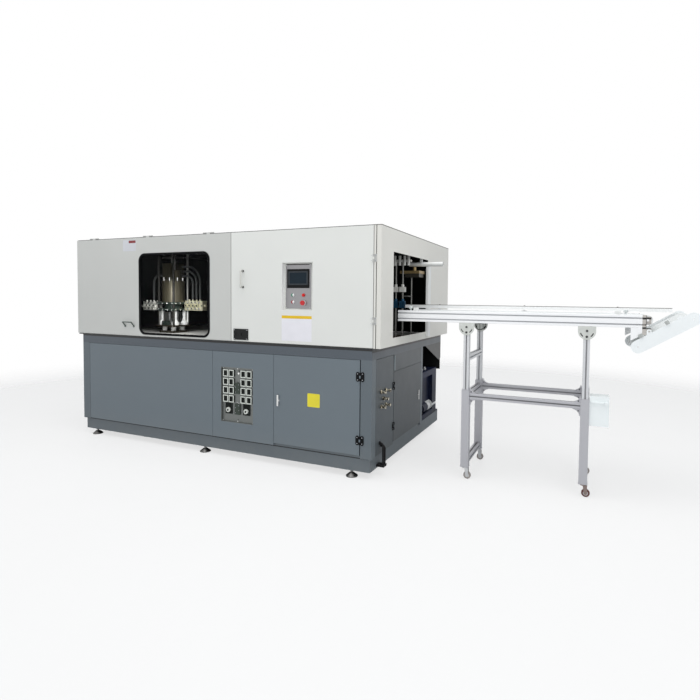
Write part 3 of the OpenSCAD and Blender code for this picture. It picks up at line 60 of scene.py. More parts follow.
class Value:
    """A node socket that Python arithmetic can be written on."""

    def __init__(self, finish, socket):
        self.finish = finish
        self.socket = socket

    def maths(self, operation, *others):
        return self.finish.node("ShaderNodeMath", {"operation": operation}, self, *others)

    def __add__(self, other): return self.maths("ADD", other)
    def __sub__(self, other): return self.maths("SUBTRACT", other)
    def __mul__(self, other): return self.maths("MULTIPLY", other)
    def __radd__(self, other): return self.maths("ADD", other)
    def __rsub__(self, other): return self.finish.node("ShaderNodeMath", {"operation": "SUBTRACT"}, other, self)
    def __gt__(self, other): return self.maths("GREATER_THAN", other)
    def __lt__(self, other): return self.maths("LESS_THAN", other)
    def absolute(self): return self.maths("ABSOLUTE")
    def most(self, other): return self.maths("MAXIMUM", other)
    def sine(self): return self.maths("SINE")
    def root(self): return self.maths("SQRT")
    def modulo(self, other): return self.maths("FLOORED_MODULO", other)


class Finish:
    """A material and the nodes that make it."""

    def __init__(self, name):
        self.material = bpy.data.materials.new(name)
        self.material.use_nodes = True
        self.tree = self.material.node_tree
        self.tree.nodes.clear()
        self.place = self.node("ShaderNodeTexCoord", {}, output="Object")
        split = self.node("ShaderNodeSeparateXYZ", {}, self.place, output=None)
        self.x, self.y, self.z = (Value(self, s) for s in split.outputs)

    def node(self, kind, settings, *inputs, output=0, **named):
        """Makes one node: its settings first, then the values or links of its sockets."""
        made = self.tree.nodes.new(kind)
        for key, value in settings.items():
            setattr(made, key, value)
        sockets = [(made.inputs[i], v) for i, v in enumerate(inputs) if v is not None]
        sockets += [(made.inputs[k.replace("_", " ")], v) for k, v in named.items()]
        for socket, value in sockets:
            if isinstance(value, Value):
                self.tree.links.new(value.socket, socket)
            elif hasattr(socket.default_value, "__len__") and len(socket.default_value) == 4 and len(value) == 3:
                socket.default_value = (*value, 1)
            else:
                socket.default_value = value
        return made if output is None else Value(self, made.outputs[output])

    def noise(self, scale, detail, roughness=0.5, stretch=(1, 1, 1)):
        """Noise from 0 to 1 in metres of the object, stretched along its axes."""
        place = self.node("ShaderNodeMapping", {}, self.place, Scale=stretch)
        return self.node("ShaderNodeTexNoise", {}, place, Scale=scale, Detail=detail, Roughness=roughness,
                         output="Fac")

    def mix(self, factor, low, high):
        """A colour between two colours."""
        made = self.tree.nodes.new("ShaderNodeMix")
        made.data_type = "RGBA"
        for socket, value in ((made.inputs[0], factor), (made.inputs[6], low), (made.inputs[7], high)):
            if isinstance(value, Value):
                self.tree.links.new(value.socket, socket)
            else:
                socket.default_value = (*value, 1) if hasattr(value, "__len__") else value
        return Value(self, made.outputs[2])

    def ramp(self, value, low, high):
        """Rises smoothly from 0 to 1 as value goes from low to high."""
        return self.node("ShaderNodeMapRange", {"interpolation_type": "SMOOTHSTEP"}, value, low, high, 0.0, 1.0)

    def slab(self, value, low, high):
        """1 between two values, else 0."""
        return (value > low) * (value < high)

    def past(self, axis, value):
        """1 beyond a machine coordinate, else 0."""
        return getattr(self, axis) > on(axis, value)

    def short_of(self, axis, value):
        """1 before a machine coordinate, else 0."""
        return getattr(self, axis) < on(axis, value)

    def span(self, axis, low, high):
        """1 between two machine coordinates, else 0."""
        return self.past(axis, low) * self.short_of(axis, high)

    def near(self, point, radius, axes):
        """1 inside a radius in millimetres about a point, measured along the named axes."""
        total = None
        for axis in axes:
            gap = getattr(self, axis) - point["xyz".index(axis)]
            total = gap * gap if total is None else total + gap * gap
        return total < (radius / 1000) ** 2

    def bump(self, height, depth, strength):
        """A normal raised by a height map, its depth in metres."""
        return self.node("ShaderNodeBump", {}, Strength=strength, Distance=depth, Height=height)

    def anodised(self, tint, metallic, lines, cloud):
        """Ends in aluminium drawn along its lines."""
        return self.finish(tint, lines * 0.12 + 0.30 + cloud * 0.08, (lines, 0.00004, 0.5), Metallic=metallic)

    def finish(self, colour, roughness, bump=None, **sockets):
        """Ends in a Principled shader. The bump is a height map, its depth in metres and its strength."""
        if bump:
            sockets["Normal"] = self.bump(*bump)
        shader = self.node("ShaderNodeBsdfPrincipled", {}, Base_Color=colour, Roughness=roughness, **sockets)
        out = self.tree.nodes.new("ShaderNodeOutputMaterial")
        self.tree.links.new(shader.socket, out.inputs["Surface"])
        return self.material


def shade(colour, factor):
    """A colour made lighter or darker."""
    return tuple(min(1.0, c * factor) for c in colour)


# Finishes

PALE_GREY = (0.700, 0.705, 0.672)
WARM_GREY = (0.735, 0.722, 0.672)
SLATE = (0.133, 0.162, 0.183)
# Painted shade: the darker slate of the base's top beam under the cabinet's overhang
BEAM_SHADE_SLATE = (0.073, 0.088, 0.105)
# Painted shade: the near black of the cabinet's inner sides
INTERIOR_SHADE = (0.0025, 0.0035, 0.0035)
WHITE = (0.80, 0.805, 0.795)
# Painted shadow: the black of the shadow line under the doors
SHADOW_LINE_BLACK = (0.006, 0.007, 0.008)
START_GREEN, STOP_RED, CAP_WHITE = (0.012, 0.20, 0.11), (0.34, 0.004, 0.010), (0.86, 0.87, 0.86)


def powder_coat(name, colour, rough=0.42, patches=(), shine=0.5):
    """Sprayed powder coat: fine orange peel, faint mottling and a little dust low down.

    A patch is a mask and the colour that the coat has there.
    """
    f = Finish(name)
    mottle = f.noise(2.4, 3)
    dust = f.ramp(f.z, 0.35, 0.03) * f.noise(14, 4)
    tint = f.mix(mottle, shade(colour, 0.965), shade(colour, 1.03))
    tint = f.mix(dust * 0.22, tint, (0.30, 0.28, 0.25))
    for mask, other in patches:
        tint = f.mix(mask(f), tint, other)
    peel = f.noise(520, 2, 0.6)
    smear = f.noise(7, 4, 0.6)
    return f.finish(tint, smear * 0.12 + (rough - 0.06 + dust * 0.25), (peel, 0.00012, 0.45),
                    Specular_IOR_Level=shine)


def brushed(name, colour, along, rough=0.30, metallic=1.0):
    """Metal brushed or drawn along one axis."""
    f = Finish(name)
    stretch = {"x": (1, 60, 60), "y": (60, 1, 60), "z": (60, 60, 1)}[along]
    lines = f.noise(18, 3, 0.65, stretch)
    smear = f.noise(5, 4, 0.6)
    tint = f.mix(lines, shade(colour, 0.90), shade(colour, 1.06))
    return f.finish(tint, lines * 0.16 + (rough - 0.08 + smear * 0.10), (lines, 0.00005, 0.6), Metallic=metallic)


def cast_metal(name, colour, rough, metallic=1.0, stain=0.5):
    """Machined or cast metal with an uneven, handled surface."""
    f = Finish(name)
    cloud = f.noise(11, 5, 0.6)
    fine = f.noise(220, 3, 0.55)
    tint = f.mix(cloud, shade(colour, 1 - 0.35 * stain), shade(colour, 1.08))
    return f.finish(tint, cloud * 0.22 + (rough - 0.11 + fine * 0.06), (fine, 0.00010, 0.5), Metallic=metallic)


def moulded(name, colour, rough, grain=900, coat=0.0):
    """Injection moulded plastic with a fine spark-eroded grain."""
    f = Finish(name)
    fine = f.noise(grain, 2, 0.6)
    cloud = f.noise(9, 3)
    tint = f.mix(cloud, shade(colour, 0.92), shade(colour, 1.06))
    return f.finish(tint, fine * 0.14 + (rough - 0.07), (fine, 0.00006, 0.5), Coat_Weight=coat)


def rubber(name, colour=(0.004, 0.004, 0.0045), rough=0.66):
    """Matt black rubber with a slight bloom."""
    f = Finish(name)
    fine = f.noise(420, 4, 0.6)
    bloom = f.noise(16, 4)
    tint = f.mix(bloom, colour, shade(colour, 1.9))
    return f.finish(tint, fine * 0.16 + (rough - 0.08), (fine, 0.0002, 0.5), Specular_IOR_Level=0.05)


def hose_finish():
    """Black conduits low down, grey braided hoses by the station."""
    f = Finish("hoses")
    fine = f.noise(420, 4, 0.6)
    tint = f.mix(f.noise(16, 4), (0.004, 0.004, 0.0045), (0.008, 0.008, 0.009))
    tint = f.mix(f.past("z", HOSES_Z), tint, f.mix(fine, (0.022, 0.025, 0.025), (0.10, 0.105, 0.105)))
    return f.finish(tint, fine * 0.16 + 0.45, (fine, 0.0002, 0.5), Specular_IOR_Level=0.2)


# Places that the masks and the small pieces share, in machine millimetres
SKIN, EDGE = 1.2, 0.5  # masks stay this far inside a sheet's faces and a part's ends
# Recessed plate
PLATE_X, PLATE_Z, PLATE_Y = 1367, 565, 28
REG_PITCH_X, REG_INNER_X, REG_LINE = 62, 65, 1.2
TERMINAL_Z = (PLATE_Z + 60, PLATE_Z - 125)
SELECTOR_DX, SELECTOR_Z, SELECTOR_FACE_R = 96, PLATE_Z - 136, 9.5
# Operator panel and the control door's fittings
PANEL_X, PANEL_Z, PANEL_W, PANEL_H, PANEL_Y = -757, 1527, 244, 372, 37
SCREEN_Z = PANEL_Z + 64
DISPLAY_HALF, RIM_HALF = (80.5, 45.5), (94, 57)
LAMP = (PANEL_X + 52, PANEL_Z - 73)
START_AT, STOP_AT = (PANEL_X - 51, PANEL_Z - 73), (PANEL_X - 51, PANEL_Z - 131)
ESTOP_AT = (PANEL_X + 52, PANEL_Z - 137)
CAP_SPLIT, BOW_Y = 3, -9
# Blowing station and its valves
STATION = (-2640, 560)
RAM, TIE, RAM_R, TIE_R = (88, 64), (102, 102), 40, 12.6
BASE_Z, PEDESTAL_Z, BLOCK_Z, PLATE_1_Z, PLATE_2_Z = 1069, 1113, 1128, 1284, 1350
PLATES_Z = (PLATE_1_Z, PLATE_2_Z)
BARREL_Z, BARREL_TOP, BARREL_R = 1372, 1599, 116
MANIFOLD_Z, MANIFOLD_OUT = (BARREL_TOP + 10, 1790), 65.5
PORT_X, PORT_Z, PORT_PITCH = -2490, PLATE_1_Z + 52, 50
VALVES_Z, HOSES_Z = 1100, 1080
# Air unit, hinges
AIR_X, AIR_Y = -95, 1351
DRUM_X, DRUM_Z, DRUM_FACE_Y = AIR_X - 52, 273, AIR_Y + 265
CONTROL_HINGE = (-62.5, -6)
BASE_HINGE = (-171.5, 4)
END_HINGE = (-65, 490.5)
CONTROL_HINGE_Z = (TABLE_Z + 213, CABINET_H - 257)
BASE_HINGE_Z = (311, 816)
END_HINGE_Z = (330, 680)
# Stand and deck
LEG_X = (577, 577 + 868)
PROFILE = 45
LEG_Y = (DECK_Y + PROFILE / 2, DECK_Y + DECK_W - PROFILE / 2)
RAIL_Z, STAND_LOW_Z, SLEEVE = 668, 140, 31
PIVOT_Z, BRACKET_Z, BRACKET_BOLTS_Z = DECK_Z - 36, DECK_Z - 97, (DECK_Z - 32, DECK_Z - 74)
ARC_SLOT_R = (40.5, 47.5)
WHEEL_R, TRAIL = 29, 20
# Painted shadow lines, the end strip and the gusset of the base, oven
DOOR_SHADOW_Z, END_SHADOW_Z, PLINTH_GAP = 1021, 1008, (157.5, 166.5)
PLINTH_FRONT_Y, PLINTH_END_X = 45, BASE_END - 24
GUSSET_X, GUSSET_Y, GUSSET_Z = BASE_END - 6.5, 1395, (740, 949.5)
STRIP_Y, STRIP_Z = (499.5, 527), (811.5, 938.5)
OVEN_CHANNEL_Y = (1172, 1348)
# Transfer unit: drive, roll, cylinders, clamps, beam and head plate, with the header over it
DRIVE_TOP, ROLL_Z, CYLINDERS_Z = 1069.5, (1216, 1254), (1343.5, 1432.5)
CLAMPS_Z, BEAM_Z, HEAD_Z = (1495.5, 1569.5), (1637.5, 1671.5), (1671.5, 1745.5)
RODS_Y, ROLL_Y = 968, 1039.5
# Radii of round masks
LAMP_R, BEZEL_R, PORT_R, DRUM_R, HUB_R, BOLT_R = 14.5, 20.5, 9.5, 53.5, 17, 8.5


def regulators_finish():
    """White frames round black rocker cells, with a grey line down each column of cells."""
    f = Finish("heater_regulators")
    grain = f.noise(800, 2)
    frame_face = f.short_of("y", PLATE_Y - 11.5)
    cell_x = (f.x - on("x", -PLATE_X)).absolute() * 1000
    inner, outer = (f.slab(cell_x, x - REG_LINE, x + REG_LINE) for x in (REG_INNER_X, REG_INNER_X + REG_PITCH_X))
    black = f.mix((inner + outer) * 0.7, (0.004, 0.006, 0.005), (0.05, 0.055, 0.05))
    tint = f.mix(frame_face, black, (0.72, 0.75, 0.69))
    return f.finish(tint, grain * 0.12 + 0.34, (grain, 0.00005, 0.4), Specular_IOR_Level=0.12)


def selector_finish():
    """White knob with a dark face round its pointer."""
    f = Finish("selector_knobs")
    grain = f.noise(700, 2)
    dx = f.x - on("x", -PLATE_X)
    off = dx.absolute() - SELECTOR_DX / 1000
    dz = f.z - SELECTOR_Z / 1000
    far = (off * off + dz * dz).root()
    tint = f.mix(far < SELECTOR_FACE_R / 1000, (0.70, 0.72, 0.67), (0.006, 0.007, 0.006))
    return f.finish(tint, grain * 0.1 + 0.28, (grain, 0.00004, 0.4))


def table_finish():
    """Pale painted top; its edge is painted black as the shadow line under the doors."""
    f = Finish("machine_table")
    cloud = f.noise(6, 5)
    top = f.mix(cloud, (0.72, 0.72, 0.69), (0.84, 0.84, 0.80))
    tint = f.mix(f.past("z", TABLE_Z - EDGE), SHADOW_LINE_BLACK, top)
    return f.finish(tint, cloud * 0.2 + 0.35, (f.noise(300, 3), 0.0001, 0.4))


def operator_plate_finish():
    """Brushed stainless plate with a red lamp and bright bezels."""
    f = Finish("operator_plate")
    lines = f.noise(24, 3, 0.65, (1, 60, 60))
    proud = f.short_of("y", PANEL_Y - 0.3)
    lamp = f.near(at(LAMP[0], 0, LAMP[1]), LAMP_R, "xz") * proud
    body = f.past("y", PANEL_Y + 5)
    tint = f.mix(lines, (0.26, 0.256, 0.265), (0.35, 0.345, 0.355))
    shadow = f.past("z", PANEL_Z + PANEL_H / 2 - 9) * (1 - body)
    tint = f.mix(shadow, tint, (0.055, 0.050, 0.050))
    tint = f.mix(body, f.mix(lamp, tint, (0.62, 0.012, 0.010)), (0.03, 0.03, 0.032))
    bare = 1 - lamp.most(body)
    for place, colour in ((START_AT, START_GREEN), (STOP_AT, STOP_RED), (ESTOP_AT, (0.62, 0.30, 0.29))):
        bezel = f.near(at(place[0], 0, place[1]), BEZEL_R, "xz") * proud
        tint = f.mix(bezel, tint, f.mix(f.past("x", place[0] + CAP_SPLIT), colour, CAP_WHITE))
        bare = bare * (1 - bezel)
    return f.finish(tint, lines * 0.16 + 0.28, (lines, 0.00004, 0.5), Metallic=bare * 0.85)


def cap_finish(name, place, colour):
    """A push cap, coloured on the left and white on the right."""
    f = Finish(name)
    fine = f.noise(700, 2)
    tint = f.mix(f.past("x", place[0] + CAP_SPLIT), shade(colour, 0.95), CAP_WHITE)
    return f.finish(tint, fine * 0.1 + 0.22, (fine, 0.00005, 0.4))


def screen_finish():
    """Black bezel with a grey rim round a dark display."""
    f = Finish("touch_screen")
    dx = (f.x - on("x", PANEL_X)).absolute()
    dz = (f.z - (SCREEN_Z + 4) / 1000).absolute()
    display, rim = ((dx < half[0] / 1000) * (dz < half[1] / 1000) for half in (DISPLAY_HALF, RIM_HALF))
    haze = f.noise(30, 3)
    tint = f.mix(rim, (0.003, 0.0035, 0.004), f.mix(haze, (0.034, 0.039, 0.045), (0.048, 0.054, 0.061)))
    tint = f.mix(display, tint, f.mix(haze, (0.007, 0.015, 0.023), (0.011, 0.022, 0.032)))
    return f.finish(tint, 0.42 - display * 0.20 + haze * 0.06, (f.noise(600, 2), 0.00003, 0.2),
                    Specular_IOR_Level=0.15)


def station_finish():
    """Brown barrel, dark green plates, white rams and pedestals, grey columns."""
    f = Finish("station_frame")
    cloud = f.noise(12, 5)
    streaks = f.noise(9, 3, 0.6, (9, 9, 1))
    away = [(f.x - at(*STATION, 0).x).absolute(), (f.y - at(*STATION, 0).y).absolute()]

    def corners(place, radius):
        """1 inside a radius about the four points that lie this far from the station's middle."""
        dx, dy = (side - gap / 1000 for side, gap in zip(away, place))
        return dx * dx + dy * dy < (radius / 1000) ** 2

    ram = corners(RAM, RAM_R) * f.span("z", BLOCK_Z + EDGE, PLATE_1_Z - EDGE)
    pedestal = f.span("z", BASE_Z + EDGE, PEDESTAL_Z - EDGE)
    white = ram.most(pedestal)
    column = corners(TIE, TIE_R) * f.past("z", BLOCK_Z + EDGE)
    front = column * (f.y < at(*STATION, 0).y)
    barrel = f.near(at(*STATION, 0), BARREL_R + 4, "xy") * f.past("z", BARREL_Z + EDGE)
    manifold = (away[1] > MANIFOLD_OUT / 1000) * f.span("z", *MANIFOLD_Z)
    tint = f.mix(cloud, (0.022, 0.036, 0.030), (0.048, 0.070, 0.058))
    lower = f.mix(cloud, (0.030, 0.024, 0.016), (0.060, 0.050, 0.034))
    tint = f.mix(f.short_of("z", BLOCK_Z + EDGE), tint, lower)
    tint = f.mix(barrel, tint, f.mix(streaks, (0.060, 0.052, 0.034), (0.150, 0.135, 0.090)))
    tint = f.mix(manifold, tint, f.mix(cloud, (0.030, 0.026, 0.016), (0.075, 0.066, 0.040)))
    tint = f.mix(column, tint, (0.20, 0.20, 0.19))
    tint = f.mix(front, tint, (0.014, 0.013, 0.010))
    tint = f.mix(white, tint, f.mix(cloud, (0.80, 0.81, 0.79), (0.90, 0.91, 0.89)))
    return f.finish(tint, cloud * 0.2 + 0.24 + front * 0.35, (f.noise(160, 3), 0.0001, 0.4),
                    Metallic=0.45 - white.most(front) * 0.45)


def fittings_finish():
    """Bright couplings on the end panel, two valve blocks with dark ports, pale fittings on the air unit."""
    f = Finish("air_valves")
    cloud = f.noise(16, 4)
    valves = f.past("z", VALVES_Z)
    unit = f.past("y", AIR_Y) * (1 - valves)
    off = (f.x - on("x", PORT_X - PORT_PITCH / 2)).modulo(PORT_PITCH / 1000) - PORT_PITCH / 2000
    dz = f.z - PORT_Z / 1000
    port = valves * (off * off + dz * dz < (PORT_R / 1000) ** 2)
    block = f.mix(f.past("x", STATION[0]), f.mix(cloud, (0.62, 0.63, 0.58), (0.88, 0.88, 0.82)),
                  f.mix(cloud, (0.46, 0.44, 0.28), (0.82, 0.79, 0.60)))
    hollows = f.noise(85, 2, 0.4)
    tint = f.mix(f.ramp(hollows, 0.44, 0.58), (0.055, 0.042, 0.024), (0.92, 0.86, 0.70))
    tint = f.mix(valves, tint, block)
    tint = f.mix(port, tint, (0.010, 0.011, 0.010))
    tint = f.mix(unit, tint, (0.70, 0.72, 0.72))
    return f.finish(tint, cloud * 0.2 + 0.20, (f.noise(180, 3), 0.00008, 0.4),
                    Metallic=0.9 - unit * 0.8 - valves * 0.5)


def air_unit_finish():
    """Black and blue vessels with a pale drum face."""
    f = Finish("air_unit")
    cloud = f.noise(8, 4)
    face = f.near(at(DRUM_X, 0, DRUM_Z), DRUM_R, "xz") * f.past("y", DRUM_FACE_Y)
    dark = f.mix(f.ramp(f.z, 0.50, 0.60), (0.0045, 0.0055, 0.0085), (0.008, 0.013, 0.042))
    tint = f.mix(cloud, dark, (0.010, 0.016, 0.045))
    tint = f.mix(face, tint, (0.66, 0.67, 0.66))
    return f.finish(tint, cloud * 0.2 + 0.34, (f.noise(260, 3), 0.0001, 0.4), Specular_IOR_Level=0.12)


def hinge_finish():
    """Black hinges on the base, painted ones on the cabinet."""
    f = Finish("door_hinges")
    grain = f.noise(500, 3)
    tint = f.mix(f.past("z", TABLE_Z), (0.005, 0.005, 0.006), (0.50, 0.50, 0.48))
    return f.finish(tint, grain * 0.12 + 0.48, (grain, 0.00008, 0.4), Specular_IOR_Level=0.12)


def door_fittings_finish():
    """Black feet and socket plate, pale bow."""
    f = Finish("door_fittings")
    grain = f.noise(700, 3)
    bow = f.short_of("y", BOW_Y)
    tint = f.mix(bow, (0.010, 0.011, 0.011), (0.50, 0.50, 0.47))
    return f.finish(tint, grain * 0.12 + 0.30, (grain, 0.00006, 0.4), Metallic=bow * 0.6, Specular_IOR_Level=0.2)


def guide_finish():
    """White anodised bar with a painted shadow along its top."""
    f = Finish("guide_rail")
    lines = f.noise(10, 3, 0.6, (1, 90, 90))
    cloud = f.noise(5, 4)
    # Painted shadow: the dark strip along the rail's top edge
    strip = f.past("z", DECK_TOP + 39.5)
    tint = f.mix(strip, f.mix(lines, (0.80, 0.805, 0.80), (0.86, 0.865, 0.86)), (0.09, 0.085, 0.08))
    return f.anodised(tint, 0.15, lines, cloud)


def slot(f, half=PROFILE / 2, **centre):
    """Inside the outline of an extrusion centred on two coordinates, so in one of its slots."""
    inside = None
    for axis, value in centre.items():
        reach = PROFILE / 2 if inside is None else half
        gap = (getattr(f, axis) - on(axis, value)).absolute() < (reach - 0.8) / 1000
        inside = gap if inside is None else inside * gap
    return inside


def stand_finish():
    """Lilac-grey anodised sleeves and rails, with painted shade down their slots."""
    f = Finish("leg_profiles")
    lines = f.noise(10, 3, 0.6, (90, 90, 1))
    cloud = f.noise(5, 4)
    between_x = f.span("x", LEG_X[0] + SLEEVE, LEG_X[1] - SLEEVE)
    between_y = f.span("y", LEG_Y[0] + SLEEVE, LEG_Y[1] - SLEEVE)
    # Painted shade: darker grey down the slots of the rails
    rails = slot(f, y=LEG_Y[0], z=RAIL_Z).most(slot(f, y=LEG_Y[1], z=RAIL_Z)) * between_x
    for x in LEG_X:
        for z in (RAIL_Z, STAND_LOW_Z):
            rails = rails.most(slot(f, x=x, z=z) * between_y)
    tint = f.mix(lines, (0.43, 0.43, 0.455), (0.465, 0.465, 0.49))
    tint = f.mix(rails, tint, (0.24, 0.24, 0.25))
    return f.anodised(tint, 0.45, lines, cloud)


def deck_finish():
    """White anodised sides with painted shade in their slots, and a grey end fitting between two black bars."""
    f = Finish("deck_profiles")
    lines = f.noise(10, 3, 0.6, (1, 90, 90))
    cloud = f.noise(5, 4)
    fitting = f.past("x", DECK_L - 22) * f.short_of("y", DECK_Y + 47)
    bars = f.span("z", DECK_Z - 7, DECK_Z + 6).most(f.span("z", DECK_Z + 59.5, DECK_Z + 72.5))
    tint = f.mix(lines, (0.85, 0.855, 0.86), (0.895, 0.90, 0.905))
    # Painted shade: grey down the slots of the deck's side profiles
    near, far = (slot(f, PROFILE, y=y, z=DECK_Z + PROFILE) for y in LEG_Y)
    slots = near.most(far)
    tint = f.mix(slots, tint, (0.60, 0.61, 0.63))
    tint = f.mix(fitting, tint, f.mix(cloud, (0.42, 0.40, 0.37), (0.54, 0.51, 0.48)))
    tint = f.mix(fitting * bars, tint, (0.012, 0.013, 0.012))
    return f.anodised(tint, 0.12, lines, cloud)


def bracket_finish():
    """Painted pivot brackets with black bolts and painted shade in their arc slots, on anodised inner legs with
    painted shade down their slots.
    """
    f = Finish("inner_leg_profiles")
    lines = f.noise(10, 3, 0.6, (90, 90, 1))
    cloud = f.noise(9, 4)
    plate = f.past("z", BRACKET_Z)
    dark = None
    for x in LEG_X:
        pivot = at(x, 0, PIVOT_Z)
        # Painted shade on the walls inside the arc slots; the bolts are black
        ring = f.near(pivot, ARC_SLOT_R[1], "xz") * (1 - f.near(pivot, ARC_SLOT_R[0], "xz"))
        hidden = f.span("y", DECK_Y - 4, DECK_Y + DECK_W + 4)
        upper, lower = (f.near(at(x, 0, z), BOLT_R, "xz") for z in BRACKET_BOLTS_Z)
        bolts = upper.most(lower)
        outer = f.short_of("y", DECK_Y - 6.5).most(f.past("y", DECK_Y + DECK_W + 6.5))
        mine = (ring * hidden).most(bolts * outer)
        dark = mine if dark is None else dark.most(mine)
    tint = f.mix(lines, (0.56, 0.57, 0.585), (0.64, 0.65, 0.665))
    # Painted shade down the slots of the inner legs
    for x in LEG_X:
        for y in LEG_Y:
            tint = f.mix(slot(f, x=x, y=y), tint, (0.34, 0.34, 0.36))
    tint = f.mix(plate, tint, f.mix(cloud, (0.56, 0.575, 0.54), (0.63, 0.645, 0.61)))
    tint = f.mix(plate * dark, tint, (0.012, 0.012, 0.012))
    return f.finish(tint, cloud * 0.14 + 0.32, (lines, 0.00004, 0.5), Metallic=0.40 - plate * 0.35)


def belt_finish():
    """Pale woven belt."""
    f = Finish("belts")
    weave = (f.x * 3000).sine() * (f.y * 3000).sine()
    cloud = f.noise(7, 4)
    tint = f.mix(cloud, (0.66, 0.69, 0.68), (0.78, 0.80, 0.79))
    return f.finish(tint, cloud * 0.15 + 0.42, (weave, 0.0001, 0.3))


def wheel_finish(i):
    """A red-brown tread on the second wheel, grey ones on the others, with pale hubs."""
    f = Finish("caster_wheel_%d" % i)
    x, y = LEG_X[(i - 1) % 2] + TRAIL, LEG_Y[(i - 1) // 2]
    hub = f.near(at(x, 0, WHEEL_R), HUB_R, "xz")
    cloud = f.noise(40, 4)
    tread = (0.095, 0.028, 0.022) if i == 2 else (0.30, 0.27, 0.25)
    tint = f.mix(cloud, shade(tread, 0.8), shade(tread, 1.25))
    tint = f.mix(hub, tint, (0.55, 0.55, 0.54))
    return f.finish(tint, cloud * 0.2 + 0.40, (f.noise(300, 3), 0.0002, 0.4))


def pane_finish():
    """Clear glazing with a faint smear."""
    f = Finish("window_pane")
    smear = f.noise(5, 4)
    return f.finish((0.020, 0.022, 0.022), smear * 0.05 + 0.03, Specular_IOR_Level=0.25, Alpha=smear * 0.03 + 0.03)


def oven_finish():
    """Grey steel housing with a pale channel."""
    f = Finish("preform_oven")
    cloud = f.noise(9, 5)
    channel = f.span("y", *OVEN_CHANNEL_Y)
    tint = f.mix(cloud, (0.10, 0.10, 0.10), (0.17, 0.17, 0.165))
    tint = f.mix(channel, tint, (0.70, 0.66, 0.58))
    return f.finish(tint, cloud * 0.2 + 0.3, (f.noise(200, 3), 0.0001, 0.4), Metallic=0.6)


def transfer_finish():
    """Brass head plate, white clamps and roll, blue cylinders and a bright header on grey rods."""
    f = Finish("transfer_unit")
    cloud = f.noise(14, 4)
    behind = f.past("y", RODS_Y)
    column = 1 - behind
    white = (f.span("z", *CLAMPS_Z) * column).most(f.span("z", *ROLL_Z) * f.past("y", ROLL_Y))
    white = white.most(f.past("z", HEAD_Z[1]))
    tint = f.mix(cloud, (0.13, 0.13, 0.12), (0.25, 0.25, 0.24))
    brown = f.mix(cloud, (0.085, 0.055, 0.035), (0.15, 0.10, 0.065))
    brass = f.mix(cloud, (0.17, 0.115, 0.045), (0.42, 0.31, 0.15))
    blue = f.mix(cloud, (0.008, 0.045, 0.095), (0.018, 0.085, 0.160))
    tint = f.mix(f.short_of("z", DRIVE_TOP), tint, brown)
    tint = f.mix(f.span("z", *BEAM_Z) * behind, tint, (0.050, 0.046, 0.036))
    tint = f.mix(f.span("z", *HEAD_Z) * behind, tint, brass)
    tint = f.mix(f.span("z", *CYLINDERS_Z) * column, tint, blue)
    tint = f.mix(white, tint, f.mix(cloud, (0.66, 0.65, 0.61), (0.82, 0.81, 0.77)))
    return f.finish(tint, cloud * 0.2 + 0.25, (f.noise(200, 3), 0.0001, 0.4), Metallic=0.6 - white * 0.5)


def lit_recess_wall(f):
    """The folded wall at the left of the operator panel's recess, painted bright as painted light."""
    left, low, high = PANEL_X - PANEL_W / 2, PANEL_Z - PANEL_H / 2, PANEL_Z + PANEL_H / 2
    return f.span("x", left - 40, left + 4) * f.span("y", SKIN, PANEL_Y + 1) * f.span("z", low - 6, high + 7)


def cover_inside(f):
    """The inner side of the right end cover, painted near black as shade inside the cabinet."""
    return f.short_of("x", -SKIN) * f.span("y", SKIN, CABINET_D - SKIN)


def shadow_line_under_doors(f):
    """The painted shadow line under the doors along the top of the base frame, wider under the end cover."""
    return f.past("z", DOOR_SHADOW_Z).most(right_end(f) * f.past("z", END_SHADOW_Z))


def plinth_shadow_line(f):
    """The painted shadow line, black, in the gap over the plinth along the front."""
    return f.span("z", *PLINTH_GAP) * f.short_of("y", PLINTH_FRONT_Y) * f.short_of("x", PLINTH_END_X)


def gusset_plate(f):
    """The dark gusset over the open bay."""
    return f.past("x", GUSSET_X) * f.past("y", GUSSET_Y) * f.span("z", *GUSSET_Z)


def right_end(f):
    """The outer face of the base's right end."""
    return f.past("x", BASE_END - 0.4)


def end_strip(f):
    """The bright bolted strip by the door in the end panel."""
    return right_end(f) * f.span("y", *STRIP_Y) * f.span("z", *STRIP_Z)


def shell_inside(f):
    """The inner sides of the rear and left covers, painted near black as shade inside the cabinet."""
    return f.past("x", -CABINET_L + SKIN) * f.short_of("y", CABINET_D - SKIN)


zinc = cast_metal("zinc_plate", (0.62, 0.63, 0.64), 0.30)
bronze = cast_metal("dark_fork", (0.27, 0.21, 0.19), 0.34, metallic=0.7)
black_screw = cast_metal("black_screws", (0.075, 0.078, 0.085), 0.35, metallic=0.4, stain=0.2)
bright = cast_metal("bright_steel", (0.80, 0.80, 0.79), 0.18, stain=0.15)
roller_steel = brushed("roller_steel", (0.66, 0.67, 0.68), "y")
pale_plastic = moulded("pale_plastic", (0.78, 0.79, 0.77), 0.35)
leg_metal = stand_finish()
belts = belt_finish()
mould_metal = cast_metal("mould_aluminium", (0.42, 0.43, 0.43), 0.30, stain=0.45)

